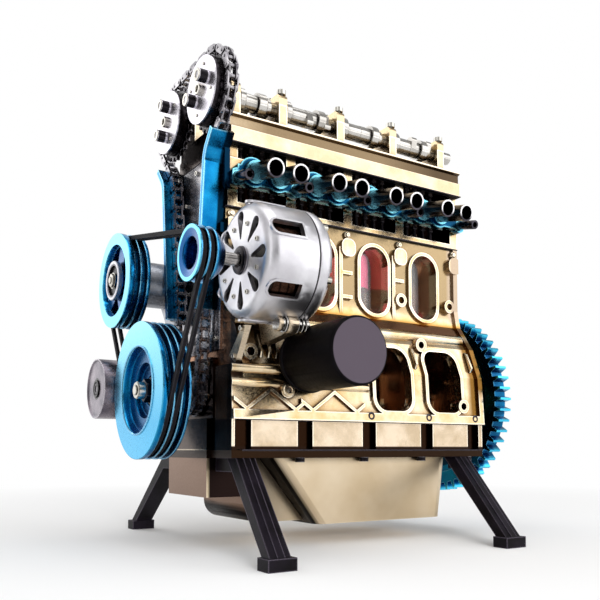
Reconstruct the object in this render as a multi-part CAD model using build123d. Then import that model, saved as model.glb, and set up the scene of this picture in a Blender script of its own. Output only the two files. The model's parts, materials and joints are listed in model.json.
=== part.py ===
from build123d import *
from math import asin, atan2, cos, degrees, hypot, pi, radians, sin, sqrt, tan
import os

# Desk model of a twin cam four cylinder engine.
# Millimetres, +Z up. X runs along the crankshaft, with the belt pulleys at minus X and the
# flywheel gear at plus X. Y is zero at the crank axis, and the alternator is at minus Y.
# The origin is on the ground, under the middle of the model.

# Fits and clearances
run_clear = 0.05          # shaft in its bore, piston in its liner
air = 0.3                 # free gap between pieces that pass each other
seat_clear = 0.02         # a piece pressed or dropped into its seat
over = 1.0                # overrun of every cut

# Cylinders
cylinder_count = 4
cylinder_pitch = 25.5
first_cylinder_x = -32.5
liner_bore_r = 9.45
liner_wall = 1.2
liner_foot_z = 80.0

# Crank train
crank_z = 54.0
crank_throw = 10.0
rod_length = 41.5
journal_r = 4.0
crank_pin_r = 3.6
web_gap = 7.2
web_thick = 4.0
web_cheek_r = 6.2
counterweight_r = 15.4
counterweight_half_angle = 62.0
pin_end_gap = 0.1

# Pistons and rods
crown_height = 6.7        # wrist pin axis to crown
piston_height = 13.4
piston_wall = 1.5
crown_thick = 2.2
ring_count = 3
ring_height = 0.8
ring_pitch = 1.5
ring_depth = 0.6
ring_proud = 0.02
wrist_pin_r = 2.2
wrist_boss_r = 3.7
small_end_r = 3.7
small_end_width = 5.0
big_end_r = 6.0
big_end_width = 6.4
rod_beam_width = 4.4
rod_beam_thick = 3.2
rod_flute_depth = 0.8
rod_flute_width = 2.4
rod_bolt_r = 0.8
rod_bolt_offset = 4.9

# Cylinder block, half widths against heights
block_front_x = -45.5
block_tail = 18.5          # last cylinder to the rear face
wing_front_x = -49.6      # front end of the near skirt
wing_top_z = 61.5
block_foot_z = 43.6
block_deck_z = 117.5
skirt_y = 32.4
skirt_top_z = 62.0
skirt_top_y = 31.1
waist_z = 74.0
waist_y = 26.6
shoulder_z = 84.0
shoulder_y = 19.7
barrel_z = 91.0
barrel_y = 18.3
block_wall = 2.8
bulkhead_thick = 5.0
front_wall_thick = 4.2
rear_wall_thick = 7.0
cap_half_width = 12.0
cap_depth = 9.0
lip_height = 3.2
skin_rise = 1.1           # how far frames, ribs and zigzags stand out
rear_rim_width = 2.2

# Side windows of the block
upper_window_width = 13.4
upper_window_foot_z = 86.0
upper_window_top_z = 112.4
window_frame = 1.4
lower_window_width = 17.0
lower_window_foot_z = 47.8
lower_window_top_z = 71.8
lower_window_corner_r = 5.0
lower_window_lead = 1.6   # ahead of the cylinder centre

# Cast details of the block side
zigzag_foot_z = 47.0
zigzag_top_z = 53.6
zigzag_band = 1.3
zigzag_reach = 9.3
zigzag_lead = 0.8         # first valley behind the block front
zigzag_bays = 2
zigzag_shape = ((-0.5, 0.5), (0, 0), (1, 1), (2, 0), (2.4, 0.4))
gallery_zs = (55.6, 60.4)
gallery_r = 2.1
shoulder_rib_r = 2.5
shoulder_rib_y = 25.8
shoulder_rib_z = 77.5
shoulder_rib_end = 3.7
lozenge_width = 6.4
lozenge_foot_z = 106.8
lozenge_top_z = 113.6
lozenge_corner_r = 2.6
lozenge_rise = 1.9
tall_rib_lead = 3.3       # ahead of each bulkhead
tall_rib_width = 1.5
tall_rib_foot_z = 84.0
peg_end = 2.0             # behind each bulkhead
peg_height = 1.3
peg_rise = 1.3
peg_zs = (91.4, 100.6)
lug_r = 2.7
lug_hole_r = 1.4
lug_rise = 2.0
plug_r = 2.6
plug_rise = 1.0
plug_x = -29.3

# Bedplate rail and oil pan
rail_foot_z = 33.5
rail_y = 32.0
rail_wall = 5.5
slot_depth = 2.0
slot_half_width = 3.0
slot_spread = 1.075       # slots against the bulkheads
slot_end = 5.0            # last slot to the rear face
rail_screw_inset = 1.4
flange_thick = 2.5
pan_wall = 1.6
tub_front_x = -50.9
tub_half_width = 16.2
tub_corner_z = 17.6
tub_chin_x = -36.6
tub_chin_z = 8.4
tub_chin_r = 6.5
sump_front_x = -33.9
sump_tail = 13.6          # sump rear to the block's rear face
sump_half_width = 27.0
sump_floor_z = 7.3
sump_floor_front_x = -11.6
sump_floor_tail = 1.2     # floor's rear end ahead of the sump's
sump_floor_half_width = 24.0
sump_corner_r = 4.0

# Screws
screw_head_r = 1.7
screw_head_height = 1.6
screw_shank_r = 0.8
screw_socket_r = 0.8
screw_length = 4.0

# Cylinder head
head_deck_thick = 2.0
core_half_width = 13.0
core_drop = 3.2           # core top below the head top
column_width = 4.0
column_y = 19.5
head_top_z = 139.7
port_face_y = 20.5
port_block_half_width = 9.4
port_block_foot_z = 124.4
port_block_top_z = 134.6
plug_bore_r = 2.2

# Cam carrier and caps
carrier_top_z = 150.1
carrier_y = 22.0
cove_foot_z = 145.2
cove_top_z = 149.5
cove_depth = 1.2
valley_half_width = 6.0
cam_y = 15.3
cam_z = 158.0
camshaft_r = 2.4
cap_width = 3.5
cam_cap_half = 5.6
cam_cap_top = 4.2
cam_cap_corner_r = 1.8
cap_offset = 8.6          # cam cap behind each cylinder centre
front_cap_x = -43.0

# Cams and valves
valve_tilt = 15.0
valve_offset = 3.9
valve_lift = 1.6
lobe_width = 2.6
lobe_base_r = 3.2
lobe_nose_r = 1.6
lobe_rise = 3.2
bucket_r = 2.6
bucket_wall = 0.35
bucket_height = 6.0
bucket_crown = 0.9
stem_r = 0.7
valve_head_r = 3.0
valve_head_thick = 1.1
seat_pocket_r = 2.9
seat_reach = 24.0         # cam axis to spring seat, along the valve
spring_r = 1.7
spring_wire = 0.5
spring_turns = 6
firing_places = (0, 3, 1, 2)   # place of each cylinder in the order 1 3 4 2

# Ports, flanges and trumpets
port_drop = 12.5          # degrees below level
trumpet_offset = 4.9
trumpet_r = 3.1
trumpet_bore_r = 2.65
trumpet_end_y = 39.0
trumpet_end_z = 126.0
trumpet_lip = 0.12
trumpet_lip_length = 1.0
stub_end_y = 31.0
port_flange_thick = 3.0
port_flange_r = 5.3
port_collar_r = 3.9
port_collar_length = 2.0
flange_web_half = 3.2
stud_r = 1.8
stud_bore_r = 1.1
stud_end_y = 32.0
stud_boss_r = 3.0
stud_drop = 2.6

# Timing chain and its wheels
cam_teeth = 24
crank_teeth = 12
cam_wheel_r = 14.6
chain_x = -49.25
inner_gap = 2.0
plate_thick = 0.5
plate_gap = 0.06
plate_half_height = 1.3
chain_pin_r = 0.42
chain_pin_clear = 0.06
chain_bush_r = 0.72
chain_pin_proud = 0.2
tooth_thick = 1.4
tooth_root_drop = 1.6
cam_disc_r = 11.6
cam_disc_front_x = -54.0
cam_disc_thick = 3.6
cam_disc_bore_r = 1.6
knob_r = 2.2
knob_length = 3.4
knob_radius = 5.4
knob_turns = (153.0, 108.0)

# Chain guides
guide_wheel_r = 12.0
guide_wheel_y = 27.5
guide_wheel_z = 131.0
guide_thick = 2.0
guide_front_x = -54.0
guide_foot_z = 82.0
guide_screw_z = 110.0
guide_flare = 6.0
guide_tab_height = 17.0

# Belt drive
groove_pitch = 2.6
groove_width = 1.9
first_groove_x = -66.8
belt_width = 1.3
belt_thick = 1.6
belt_count = 2
pulley_front_x = -69.7
pulley_rear_x = -59.7
pulley_r = 23.7
pulley_floor_r = 21.0
pulley_dish_rs = (14.9, 9.6, 5.4)
pulley_dish_depths = (2.8, 5.0, 6.2)
alt_r = 18.7
alt_side_y = 21.3         # the shell's side next to the block
alt_y = -(alt_side_y + alt_r)
alt_z = 93.0
alt_pulley_front_x = -68.6
alt_pulley_rear_x = -58.6
alt_pulley_r = 8.7
alt_pulley_floor_r = 6.0
alt_cup_depth = 5.0
pump_y = 26.0
pump_z = 97.0
pump_pulley_front_x = -70.0
pump_pulley_rear_x = -62.0
pump_pulley_r = 17.7
pump_pulley_floor_r = 15.0
idler_y = 36.0
idler_z = 56.8
idler_r = 11.4
idler_front_x = -73.0
idler_rear_x = -63.0
rim_wall = 2.0
spoke_count = 5
spoke_width = 3.0

# Shafts of the belt drive
nose_r = 3.0
alt_shaft_r = 2.0
pump_shaft_r = 2.4
idler_shaft_r = 2.4

# Alternator
alt_front_x = -51.0
alt_rear_x = -27.0
alt_wall = 1.6
alt_face = 2.2
alt_edge_r = 4.0
alt_split = 0.6
alt_seam_x = -33.2
alt_slot_count = 6
alt_slot_turn = 7.0       # degrees from plus Z to the first slot
alt_slot_width = 4.9
alt_slot_front_x = -49.6
alt_slot_rear_x = -38.4
alt_notch_depth = 2.4
claw_count = 8
alt_face_slots = 8
alt_hub_r = 5.2
stator_fit = 0.9
stator_ring = 3.6
rotor_air = 0.6
stator_r = alt_r - alt_wall - stator_fit
stator_bore_r = stator_r - stator_ring
rotor_r = stator_bore_r - rotor_air
lug_out = 5.0             # the lug bolt past the alternator's axis
lug_drop = 1.0            # the lug bolt below the shell
lug_bolt_y = alt_y - lug_out
lug_bolt_z = alt_z - alt_r - lug_drop
lug_bolt_front_x = -41.0
lug_bolt_rear_x = -31.0
lug_bolt_r = 1.6
lug_eye_r = 3.0

# Oil filter
filter_x = -22.2
filter_z = 64.0
filter_r = 10.9
filter_end_y = -64.0
filter_base_y = -33.8
filter_edge_r = 1.1
filter_boss_r = 5.0

# Pump housing and idler arm
pump_body_r = 8.6
pump_plate_thick = 3.5
arm_thick = 4.0

# Crank gear and drive motor
gear_teeth = 54
gear_tip_r = 38.0
gear_gap = 4.5            # block's rear face to the gear
gear_width = 6.0
gear_hub_r = 9.0
gear_rim = 5.0
gear_web_thick = 3.0
gear_holes = 6
gear_hole_r = 5.0
pinion_teeth = 12
mesh_ease = 0.35
motor_turn = 25.4         # degrees of the pinion above the crank axis
motor_r = 10.0
motor_length = 22.5
motor_shaft_r = 1.2
motor_plate_thick = 2.4
tooth_tip_share = 0.10    # half tooth at the tip, as a share of the tooth pitch
tooth_root_share = 0.27

# Legs
leg_front_x = -44.0
leg_tail = 10.5           # rear legs' top to the block's rear face
near_leg_lean = (7.0, 9.5)    # front and rear foot ahead of the leg's top
far_leg_lean = (0.0, 0.0)
leg_width = 7.0
leg_arm_z = 26.4
leg_top_z = 31.0
leg_knee_y = 31.0
leg_foot_y = 66.3
leg_depth = 6.4
pad_width = 9.4
pad_length = 6.3
pad_thick = 3.7
pad_edge = 0.4
leg_ridge_width = 2.6
leg_ridge_rise = 0.7

# Places worked out from the sizes above
near, far = -1, 1
cylinder_xs = [first_cylinder_x + i * cylinder_pitch for i in range(cylinder_count)]
block_rear_x = cylinder_xs[-1] + block_tail
inner_bulkheads = [x + cylinder_pitch / 2 for x in cylinder_xs[:-1]]
lower_window_xs = [x - lower_window_lead for x in cylinder_xs[-2:]]
wall_spans = [(block_front_x, block_front_x + front_wall_thick)]
wall_spans += [(x - bulkhead_thick / 2, x + bulkhead_thick / 2) for x in inner_bulkheads]
wall_spans += [(block_rear_x - rear_wall_thick, block_rear_x)]
column_xs = [block_front_x + column_width / 2, *inner_bulkheads, block_rear_x - column_width / 2]
middle_x = (inner_bulkheads[0] + inner_bulkheads[-1]) / 2
slot_xs = [middle_x + slot_spread * (x - middle_x) for x in inner_bulkheads]
slot_xs.append(block_rear_x - slot_end)
core_top_z = head_top_z - core_drop
sump_rear_x = block_rear_x - sump_tail
sump_floor_rear_x = sump_rear_x - sump_floor_tail
gear_front_x = block_rear_x + gear_gap
gear_rear_x = gear_front_x + gear_width
motor_front_x = block_rear_x - motor_length
leg_xs = (leg_front_x, block_rear_x - leg_tail)
cap_xs = [front_cap_x, *[x + cap_offset for x in cylinder_xs]]
liner_r = liner_bore_r + liner_wall
piston_r = liner_bore_r - run_clear
pin_signs = [1 if i in (1, 2) else -1 for i in range(cylinder_count)]
crank_pin_zs = [crank_z + s * crank_throw for s in pin_signs]
wrist_zs = [z + rod_length for z in crank_pin_zs]
lowest_skirt_z = crank_z - crank_throw + rod_length + crown_height - piston_height
chain_pitch = 2 * cam_wheel_r * sin(pi / cam_teeth)
crank_wheel_r = chain_pitch / (2 * sin(pi / crank_teeth))
lobe_reach = lobe_rise + lobe_nose_r
bucket_top = lobe_reach + air
groove_xs = [first_groove_x + i * groove_pitch for i in range(belt_count + 1)]
belt_rise = air + belt_thick / 2


def slab(xs, ys, zs):
    """A box between two limits on each axis."""
    size = Box(xs[1] - xs[0], ys[1] - ys[0], zs[1] - zs[0])
    return Pos((xs[0] + xs[1]) / 2, (ys[0] + ys[1]) / 2, (zs[0] + zs[1]) / 2) * size


def bar_x(x0, x1, y, z, r):
    """A round bar along X."""
    return Pos((x0 + x1) / 2, y, z) * Rot(0, 90, 0) * Cylinder(r, x1 - x0)


def bar_y(y0, y1, x, z, r):
    """A round bar along Y."""
    return Pos(x, (y0 + y1) / 2, z) * Rot(90, 0, 0) * Cylinder(r, abs(y1 - y0))


def bar_z(z0, z1, x, y, r):
    """A round bar along Z."""
    return Pos(x, y, (z0 + z1) / 2) * Cylinder(r, z1 - z0)


def outline(points, corner_r=0):
    """A closed outline, with its corners rounded if a radius is given."""
    face = make_face(Polyline(*points, close=True))
    return fillet(face.vertices(), corner_r) if corner_r else face


def along_x(face, x0, x1):
    """A face drawn in Y and Z, pulled from x0 to x1."""
    return extrude(Plane.YZ.offset(x0) * face, x1 - x0)


def along_y(face, y0, y1):
    """A face drawn in X and Z, pulled between y0 and y1."""
    return extrude(Plane.XZ.offset(-max(y0, y1)) * face, abs(y1 - y0))


def turned(points, y=0, z=0):
    """A turned piece about an X axis, from points of place and radius."""
    return Pos(0, y, z) * revolve(outline(points), Axis.X)


def both_sides(points):
    """Half outline points of plus Y, closed by their mirror images."""
    return [(y, z) for y, z in points] + [(-y, z) for y, z in reversed(points)]


def group(pieces):
    """Separate solids kept in one node."""
    solids = []
    for piece in pieces:
        solids += piece.solids()
    return Compound(solids)


def tangent_path(wheels):
    """Straight runs and arcs of a closed band, as places on each wheel.

    A wheel is (y, z, r). The band turns counterclockwise round a wheel with a positive
    radius and the other way round one with a negative radius.
    """
    runs = []
    for (y0, z0, r0), (y1, z1, r1) in zip(wheels, wheels[1:] + wheels[:1]):
        dy, dz = y1 - y0, z1 - z0
        turn = atan2(dz, dy) + asin((r0 - r1) / hypot(dy, dz))
        side = (sin(turn), -cos(turn))
        runs.append(((y0 + r0 * side[0], z0 + r0 * side[1]), (y1 + r1 * side[0], z1 + r1 * side[1])))
    path = []
    for i, (y, z, r) in enumerate(wheels):
        start, end = runs[i - 1][1], runs[i][0]
        a0 = atan2(start[1] - z, start[0] - y)
        a1 = atan2(end[1] - z, end[0] - y)
        sweep_angle = (a1 - a0) % (2 * pi) if r > 0 else -((a0 - a1) % (2 * pi))
        path.append({"wheel": (y, z, abs(r)), "from": a0, "sweep": sweep_angle, "run": runs[i]})
    return path


def band_face(wheels, shift=0):
    """The area inside a band, moved outwards by shift."""
    edges = []
    for step in tangent_path([(y, z, r + shift) for y, z, r in wheels]):
        y, z, r = step["wheel"]
        edges.append(CenterArc((y, z), r, degrees(step["from"]), degrees(step["sweep"])))
        edges.append(Line(*step["run"]))
    return make_face(edges)


def points_on_path(path, spacing):
    """Even places along a band, as (y, z)."""
    pieces = []
    for step in path:
        y, z, r = step["wheel"]
        pieces.append(("arc", (y, z, r, step["from"], step["sweep"]), r * abs(step["sweep"])))
        (y0, z0), (y1, z1) = step["run"]
        pieces.append(("run", step["run"], hypot(y1 - y0, z1 - z0)))
    total = sum(piece[2] for piece in pieces)
    count = 2 * round(total / spacing / 2)
    places = []
    for i in range(count):
        s = i * total / count
        for kind, data, length in pieces:
            if s <= length:
                break
            s -= length
        share = s / length
        if kind == "arc":
            y, z, r, start, swept = data
            angle = start + share * swept
            places.append((y + r * cos(angle), z + r * sin(angle)))
        else:
            (y0, z0), (y1, z1) = data
            places.append((y0 + share * (y1 - y0), z0 + share * (z1 - z0)))
    return places


def toothed_face(count, root_r, tip_r, root_share, tip_share):
    """A wheel outline with straight sided teeth, one of them centred on plus Y."""
    points = []
    step = 2 * pi / count
    for i in range(count):
        for share, r in ((-root_share, root_r), (-tip_share, tip_r), (tip_share, tip_r),
                         (root_share, root_r)):
            angle = (i + share) * step
            points.append((r * cos(angle), r * sin(angle)))
    return outline(points)


def block_half_outline(rise=0, foot_z=block_foot_z, top_z=block_deck_z):
    """Half outline of the block side, pushed out by rise."""
    return [(0, foot_z), (skirt_y + rise, foot_z), (skirt_top_y + rise, skirt_top_z),
            (waist_y + rise, waist_z), (shoulder_y + rise, shoulder_z),
            (barrel_y + rise, barrel_z), (barrel_y + rise, top_z), (0, top_z)]


def mirrored_half(points):
    """A whole outline from a half outline that starts and ends on the middle."""
    inner = points[1:-1]
    return inner + [(-y, z) for y, z in reversed(inner)]


def window_face(width, foot_z, top_z, corner_r, x, grow=0):
    """A window with round corners, drawn in X and Z."""
    face = RectangleRounded(width + 2 * grow, top_z - foot_z + 2 * grow, corner_r + grow)
    return Pos(x, (foot_z + top_z) / 2) * face


def screw(x, y, z, direction, length=screw_length):
    """A cap screw, its seat at the given place and its head towards the direction."""
    head = Pos(0, 0, screw_head_height / 2) * Cylinder(screw_head_r, screw_head_height)
    head -= Pos(0, 0, screw_head_height) * Cylinder(screw_socket_r, screw_head_height)
    shank = Pos(0, 0, -length / 2) * Cylinder(screw_shank_r, length)
    return Plane(origin=(x, y, z), z_dir=direction) * (head + shank)


def screw_hole(x, y, z, direction, length=screw_length):
    """The hole of a cap screw, a little deeper and wider than its shank."""
    depth = length + air
    bore = Pos(0, 0, (over - depth) / 2) * Cylinder(screw_shank_r + seat_clear, depth + over)
    return Plane(origin=(x, y, z), z_dir=direction) * bore


# Places of the screws, each as x, y, z and the way its head looks
cam_cap_screws = [(x, side * cam_y + way * (camshaft_r + screw_shank_r + 2 * window_frame / 3),
                   cam_z + cam_cap_top, (0, 0, 1))
                  for x in cap_xs for side in (near, far) for way in (-1, 1)]
rail_screws = [(x, side * (rail_y - slot_depth - rail_screw_inset), rail_foot_z - flange_thick, (0, 0, -1))
               for x in slot_xs for side in (near, far)]


def make_block():
    """Cylinder block with bores, bulkheads, windows and cast ribs."""
    body = along_x(outline(mirrored_half(block_half_outline())), wing_front_x, block_rear_x)
    skin = along_x(outline(mirrored_half(block_half_outline(skin_rise))), wing_front_x, block_rear_x)

    # Window frames, zigzag and bulkhead ribs are parts of a thicker skin
    reliefs = []
    for side in (near, far):
        reach = (side * (barrel_y - block_wall), side * (skirt_y + 2 * skin_rise))
        for x in lower_window_xs:
            face = window_face(lower_window_width, lower_window_foot_z, lower_window_top_z,
                               lower_window_corner_r, x, window_frame)
            reliefs.append(along_y(face, *reach))
        for x in cylinder_xs:
            face = window_face(upper_window_width, upper_window_foot_z, upper_window_top_z,
                               upper_window_width / 2 - seat_clear, x, window_frame)
            reliefs.append(along_y(face, *reach))
        reliefs += [along_y(stroke, *reach) for stroke in zigzag_strokes()]
        reliefs.append(slab((wing_front_x, block_rear_x), sorted(reach),
                            (block_foot_z, block_foot_z + lip_height)))
        reliefs.append(slab((block_rear_x - rear_rim_width, block_rear_x), sorted(reach),
                            (block_foot_z, block_deck_z)))
    body += [skin & relief for relief in reliefs]

    # Round ribs, bosses and pegs on both sides
    extras = []
    lozenge = RectangleRounded(lozenge_width, lozenge_top_z - lozenge_foot_z, lozenge_corner_r)
    lozenge_z = (lozenge_foot_z + lozenge_top_z) / 2
    for side in (near, far):
        for z in gallery_zs:
            extras.append(bar_x(wing_front_x, middle_x, side * (skirt_top_y - gallery_r / 2), z,
                                gallery_r))
        extras.append(bar_x(block_front_x, block_rear_x - shoulder_rib_end,
                            side * (shoulder_rib_y - shoulder_rib_r), shoulder_rib_z, shoulder_rib_r))
        for x in column_xs:
            extras.append(along_y(Pos(x, lozenge_z) * lozenge, side * (barrel_y - over),
                                  side * (barrel_y + lozenge_rise)))
        reach = sorted((side * (barrel_y - over), side * (barrel_y + peg_rise)))
        for x in inner_bulkheads:
            start = x - tall_rib_lead - tall_rib_width / 2
            extras.append(slab((start, start + tall_rib_width), reach, (tall_rib_foot_z, lozenge_z)))
            for z in peg_zs:
                extras.append(slab((start, x + peg_end), reach, (z - peg_height / 2, z + peg_height / 2)))
    extras.append(bar_y(-skirt_top_y, -skirt_y - plug_rise, plug_x, gallery_zs[0] - gallery_r, plug_r))
    extras.append(bar_y(-waist_y, filter_base_y, filter_x, filter_z, filter_boss_r))
    body += extras

    # Crankcase chambers, bores, bearing seats and windows
    cuts = []
    chamber = [(0, block_foot_z - over), (skirt_y - block_wall, block_foot_z - over),
               (skirt_top_y - block_wall, skirt_top_z - block_wall / 2),
               (waist_y - block_wall, waist_z - block_wall / 2),
               (shoulder_y - block_wall, liner_foot_z), (0, liner_foot_z)]
    for (_, x0), (x1, _) in zip(wall_spans, wall_spans[1:]):
        cuts.append(along_x(outline(mirrored_half(chamber)), x0, x1))
    for x in cylinder_xs:
        cuts.append(bar_z(liner_foot_z - over, block_deck_z + over, x, 0, liner_r + seat_clear))
        cuts.append(bar_z(lowest_skirt_z - over, liner_foot_z, x, 0, liner_bore_r + air))
        face = window_face(upper_window_width, upper_window_foot_z, upper_window_top_z,
                           upper_window_width / 2 - seat_clear, x)
        cuts.append(along_y(face, -barrel_y - 2 * skin_rise, barrel_y + 2 * skin_rise))
    for x in lower_window_xs:
        face = window_face(lower_window_width, lower_window_foot_z, lower_window_top_z,
                           lower_window_corner_r, x)
        for side in (near, far):
            cuts.append(along_y(face, side * (waist_y - block_wall), side * (skirt_y + 2 * skin_rise)))
    cuts.append(bar_x(block_front_x - over, block_rear_x + over, 0, crank_z, journal_r + run_clear))
    cuts.append(slab((block_front_x - over, block_rear_x + over),
                     (-cap_half_width - seat_clear, cap_half_width + seat_clear),
                     (block_foot_z - over, crank_z)))
    ends = slab((block_front_x, block_rear_x), (-2 * skirt_y, 2 * skirt_y), (0, 2 * block_deck_z))
    ends += slab((wing_front_x, block_front_x), (-2 * skirt_y, -shoulder_y), (0, wing_top_z))
    body = (body - cuts) & ends
    for x, y, z in lug_places():
        body += bar_y(-y + block_wall, -y - lug_rise, x, z, lug_r)
        body -= bar_y(-y - lug_rise + lug_r, -y - lug_rise - over, x, z, lug_hole_r)
    return body


def zigzag_strokes():
    """The strokes of the cast zigzag, drawn in X and Z."""
    strokes = []
    half, rise = zigzag_band / 2, zigzag_top_z - zigzag_foot_z
    for bay in range(zigzag_bays):
        start = block_front_x + zigzag_lead + bay * cylinder_pitch
        places = [(start + u * zigzag_reach, zigzag_foot_z + v * rise) for u, v in zigzag_shape]
        for (x0, z0), (x1, z1) in zip(places, places[1:]):
            strokes.append(outline([(x0, z0 - half), (x0, z0 + half), (x1, z1 + half), (x1, z1 - half)]))
    return strokes


def lug_places():
    """Threaded lugs on the near side, as x, half width and height."""
    upper_z = upper_window_foot_z + upper_window_width / 2
    return [(inner_bulkheads[2], barrel_y, upper_z),
            (block_rear_x - 2 * lug_r, barrel_y, upper_z),
            (inner_bulkheads[2] + lug_r, waist_y, waist_z),
            (block_front_x + lug_r, skirt_top_y - lug_rise / 2, gallery_zs[1] + 2 * lug_r),
            (lower_window_xs[-1] + lower_window_width / 2 + over / 2, skirt_y - lug_rise / 2,
             lower_window_foot_z + lug_r)]


def make_rail():
    """Bedplate between the pan and the block, open in the middle."""
    body = slab((block_front_x, block_rear_x), (-rail_y, rail_y), (rail_foot_z, block_foot_z))
    body += slab((wing_front_x, block_front_x), (-rail_y, -shoulder_y), (rail_foot_z, block_foot_z))
    body -= slab((block_front_x + front_wall_thick, block_rear_x - rear_wall_thick),
                 (-rail_y + rail_wall, rail_y - rail_wall), (rail_foot_z - over, block_foot_z + over))
    for x in (block_front_x, *slot_xs):
        for side in (near, far):
            body -= slab((x - slot_half_width, x + slot_half_width),
                         sorted((side * (rail_y - slot_depth), side * (rail_y + over))),
                         (rail_foot_z - over, block_foot_z + over))
    return body - [screw_hole(*place, rail_screw_length()) for place in rail_screws]


def rail_screw_length():
    """A rail screw passes the pan flange and enters the rail."""
    return flange_thick + screw_length


def make_bearing_caps():
    """Lower halves of the main bearings."""
    caps = []
    for x0, x1 in wall_spans:
        cap = slab((x0, x1), (-cap_half_width, cap_half_width), (crank_z - cap_depth, crank_z))
        cap -= bar_x(x0 - over, x1 + over, 0, crank_z, journal_r + run_clear)
        caps.append(cap)
    return group(caps)


def make_liners():
    """Clear cylinder liners."""
    tube = bar_z(liner_foot_z, block_deck_z, 0, 0, liner_r)
    tube -= bar_z(liner_foot_z - over, block_deck_z + over, 0, 0, liner_bore_r)
    return group([Pos(x, 0, 0) * tube for x in cylinder_xs])


def pan_shell(grow):
    """Outer form of the pan when grow is zero, inner form when it is minus the wall."""
    top_z = rail_foot_z + over
    side = outline([(tub_front_x - grow, top_z), (tub_front_x - grow, tub_corner_z - grow),
                    (tub_chin_x - grow, tub_corner_z - grow), (tub_chin_x - grow, tub_chin_z - grow),
                    (sump_floor_front_x, tub_chin_z - grow), (sump_floor_front_x, top_z)])
    chin = [v for v in side.vertices() if v.Y < tub_corner_z - tub_chin_r and v.X < sump_front_x - grow]
    half = tub_half_width + grow
    tub = along_y(fillet(chin, tub_chin_r + grow), -half, half)
    roof = Plane.XY.offset(top_z) * Pos((sump_front_x + sump_rear_x) / 2, 0) * RectangleRounded(
        sump_rear_x - sump_front_x + 2 * grow, 2 * (sump_half_width + grow), sump_corner_r + grow)
    floor = Plane.XY.offset(sump_floor_z - grow) * Pos((sump_floor_front_x + sump_floor_rear_x) / 2, 0)
    floor *= RectangleRounded(sump_floor_rear_x - sump_floor_front_x + 2 * grow,
                              2 * (sump_floor_half_width + grow), sump_corner_r + grow)
    return tub + loft([floor, roof])


def make_pan():
    """Oil pan with its narrow front tub, deep sump and top flange."""
    keep = slab((tub_front_x - over, block_rear_x), (-rail_y, rail_y), (0, rail_foot_z))
    flange = slab((block_front_x, block_rear_x), (-rail_y, rail_y),
                  (rail_foot_z - flange_thick, rail_foot_z))
    flange += slab((tub_front_x, block_front_x), (-tub_half_width, tub_half_width),
                   (rail_foot_z - flange_thick, rail_foot_z))
    flange += slab((wing_front_x, block_front_x), (-rail_y, 0), (rail_foot_z - flange_thick, rail_foot_z))
    body = (pan_shell(0) & keep) + flange
    body -= pan_shell(-pan_wall)
    return body - [screw_hole(*place, rail_screw_length()) for place in rail_screws]


def make_front_plate():
    """Seal plate round the crank nose, with a step over the front tub."""
    x0, x1 = chain_x - chain_half_width(), block_front_x
    face = outline([(-cap_half_width, rail_foot_z), (-cap_half_width, crank_z + cap_half_width),
                    (cap_half_width, crank_z + cap_half_width), (cap_half_width, rail_foot_z)],
                   lug_r)
    plate = along_x(face, chain_x + chain_half_width() + air, x1)
    plate -= bar_x(x0 - over, x1 + over, 0, crank_z, journal_r + air)
    step_top = crank_z - crank_wheel_r - plate_half_height - over
    step = slab((tub_front_x, x1), (-tub_half_width, tub_half_width), (rail_foot_z, step_top))
    step -= bar_x(x0 - over, x1 + over, 0, crank_z, crank_wheel_r + plate_half_height + over + air)
    return plate + step


def chain_half_width():
    """Half width of the chain over its pins."""
    return inner_gap / 2 + 2 * plate_thick + plate_gap + chain_pin_proud


def make_head():
    """Cylinder head with core, port blocks, columns and open galleries."""
    deck = slab((block_front_x, block_rear_x), (-column_y, column_y),
                (block_deck_z, block_deck_z + head_deck_thick))
    core = slab((block_front_x, block_rear_x), (-core_half_width, core_half_width),
                (block_deck_z, core_top_z))
    body = deck + core
    columns = [slab((x - column_width / 2, x + column_width / 2), (-column_y, column_y),
                    (block_deck_z, head_top_z)) for x in column_xs]
    blocks = [slab((x - port_block_half_width, x + port_block_half_width),
                   (-port_face_y, port_face_y), (port_block_foot_z, port_block_top_z))
              for x in cylinder_xs]
    pads = [slab((x - column_width / 2, x + column_width / 2), (-port_face_y, port_face_y),
                 (port_block_foot_z, port_block_top_z)) for x in column_xs]
    body += columns + blocks + pads
    cuts = []
    for x in cylinder_xs:
        cuts.append(bar_z(block_deck_z - over, head_top_z + over, x, 0, plug_bore_r))
        for side in (near, far):
            for way in (-1, 1):
                place = valve_frame(x + way * valve_offset, side)
                cuts.append(place * valve_cut())
                cuts.append(port_line(x + way * trumpet_offset, side, core_half_width - over,
                                      port_face_y + over, trumpet_bore_r))
    for x in column_xs:
        for side in (near, far):
            cuts.append(port_line(x, side, port_face_y - stud_bore_r, port_face_y + over,
                                  stud_bore_r, stud_drop))
    return body - cuts


def valve_frame(x, side):
    """Frame of a valve: origin on the cam axis, minus Z down along the stem."""
    return Pos(x, side * cam_y, cam_z) * Rot(-side * valve_tilt, 0, 0)


def valve_foot():
    """Distance from the cam axis to the valve head's face, along the stem."""
    return (cam_z - block_deck_z) / cos(radians(valve_tilt)) - valve_head_r * sin(radians(valve_tilt))


def valve_cut():
    """Spring pocket, stem guide and valve seat in the head."""
    seat_z = -valve_foot() + valve_head_thick
    pocket = bar_z(-seat_reach, -bucket_top - bucket_height, 0, 0, seat_pocket_r)
    guide = bar_z(-valve_foot() - 2 * over, -bucket_top, 0, 0, stem_r + run_clear)
    seat = bar_z(seat_z - 2 * valve_head_r, seat_z, 0, 0, valve_head_r + air)
    return pocket + guide + seat


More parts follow.
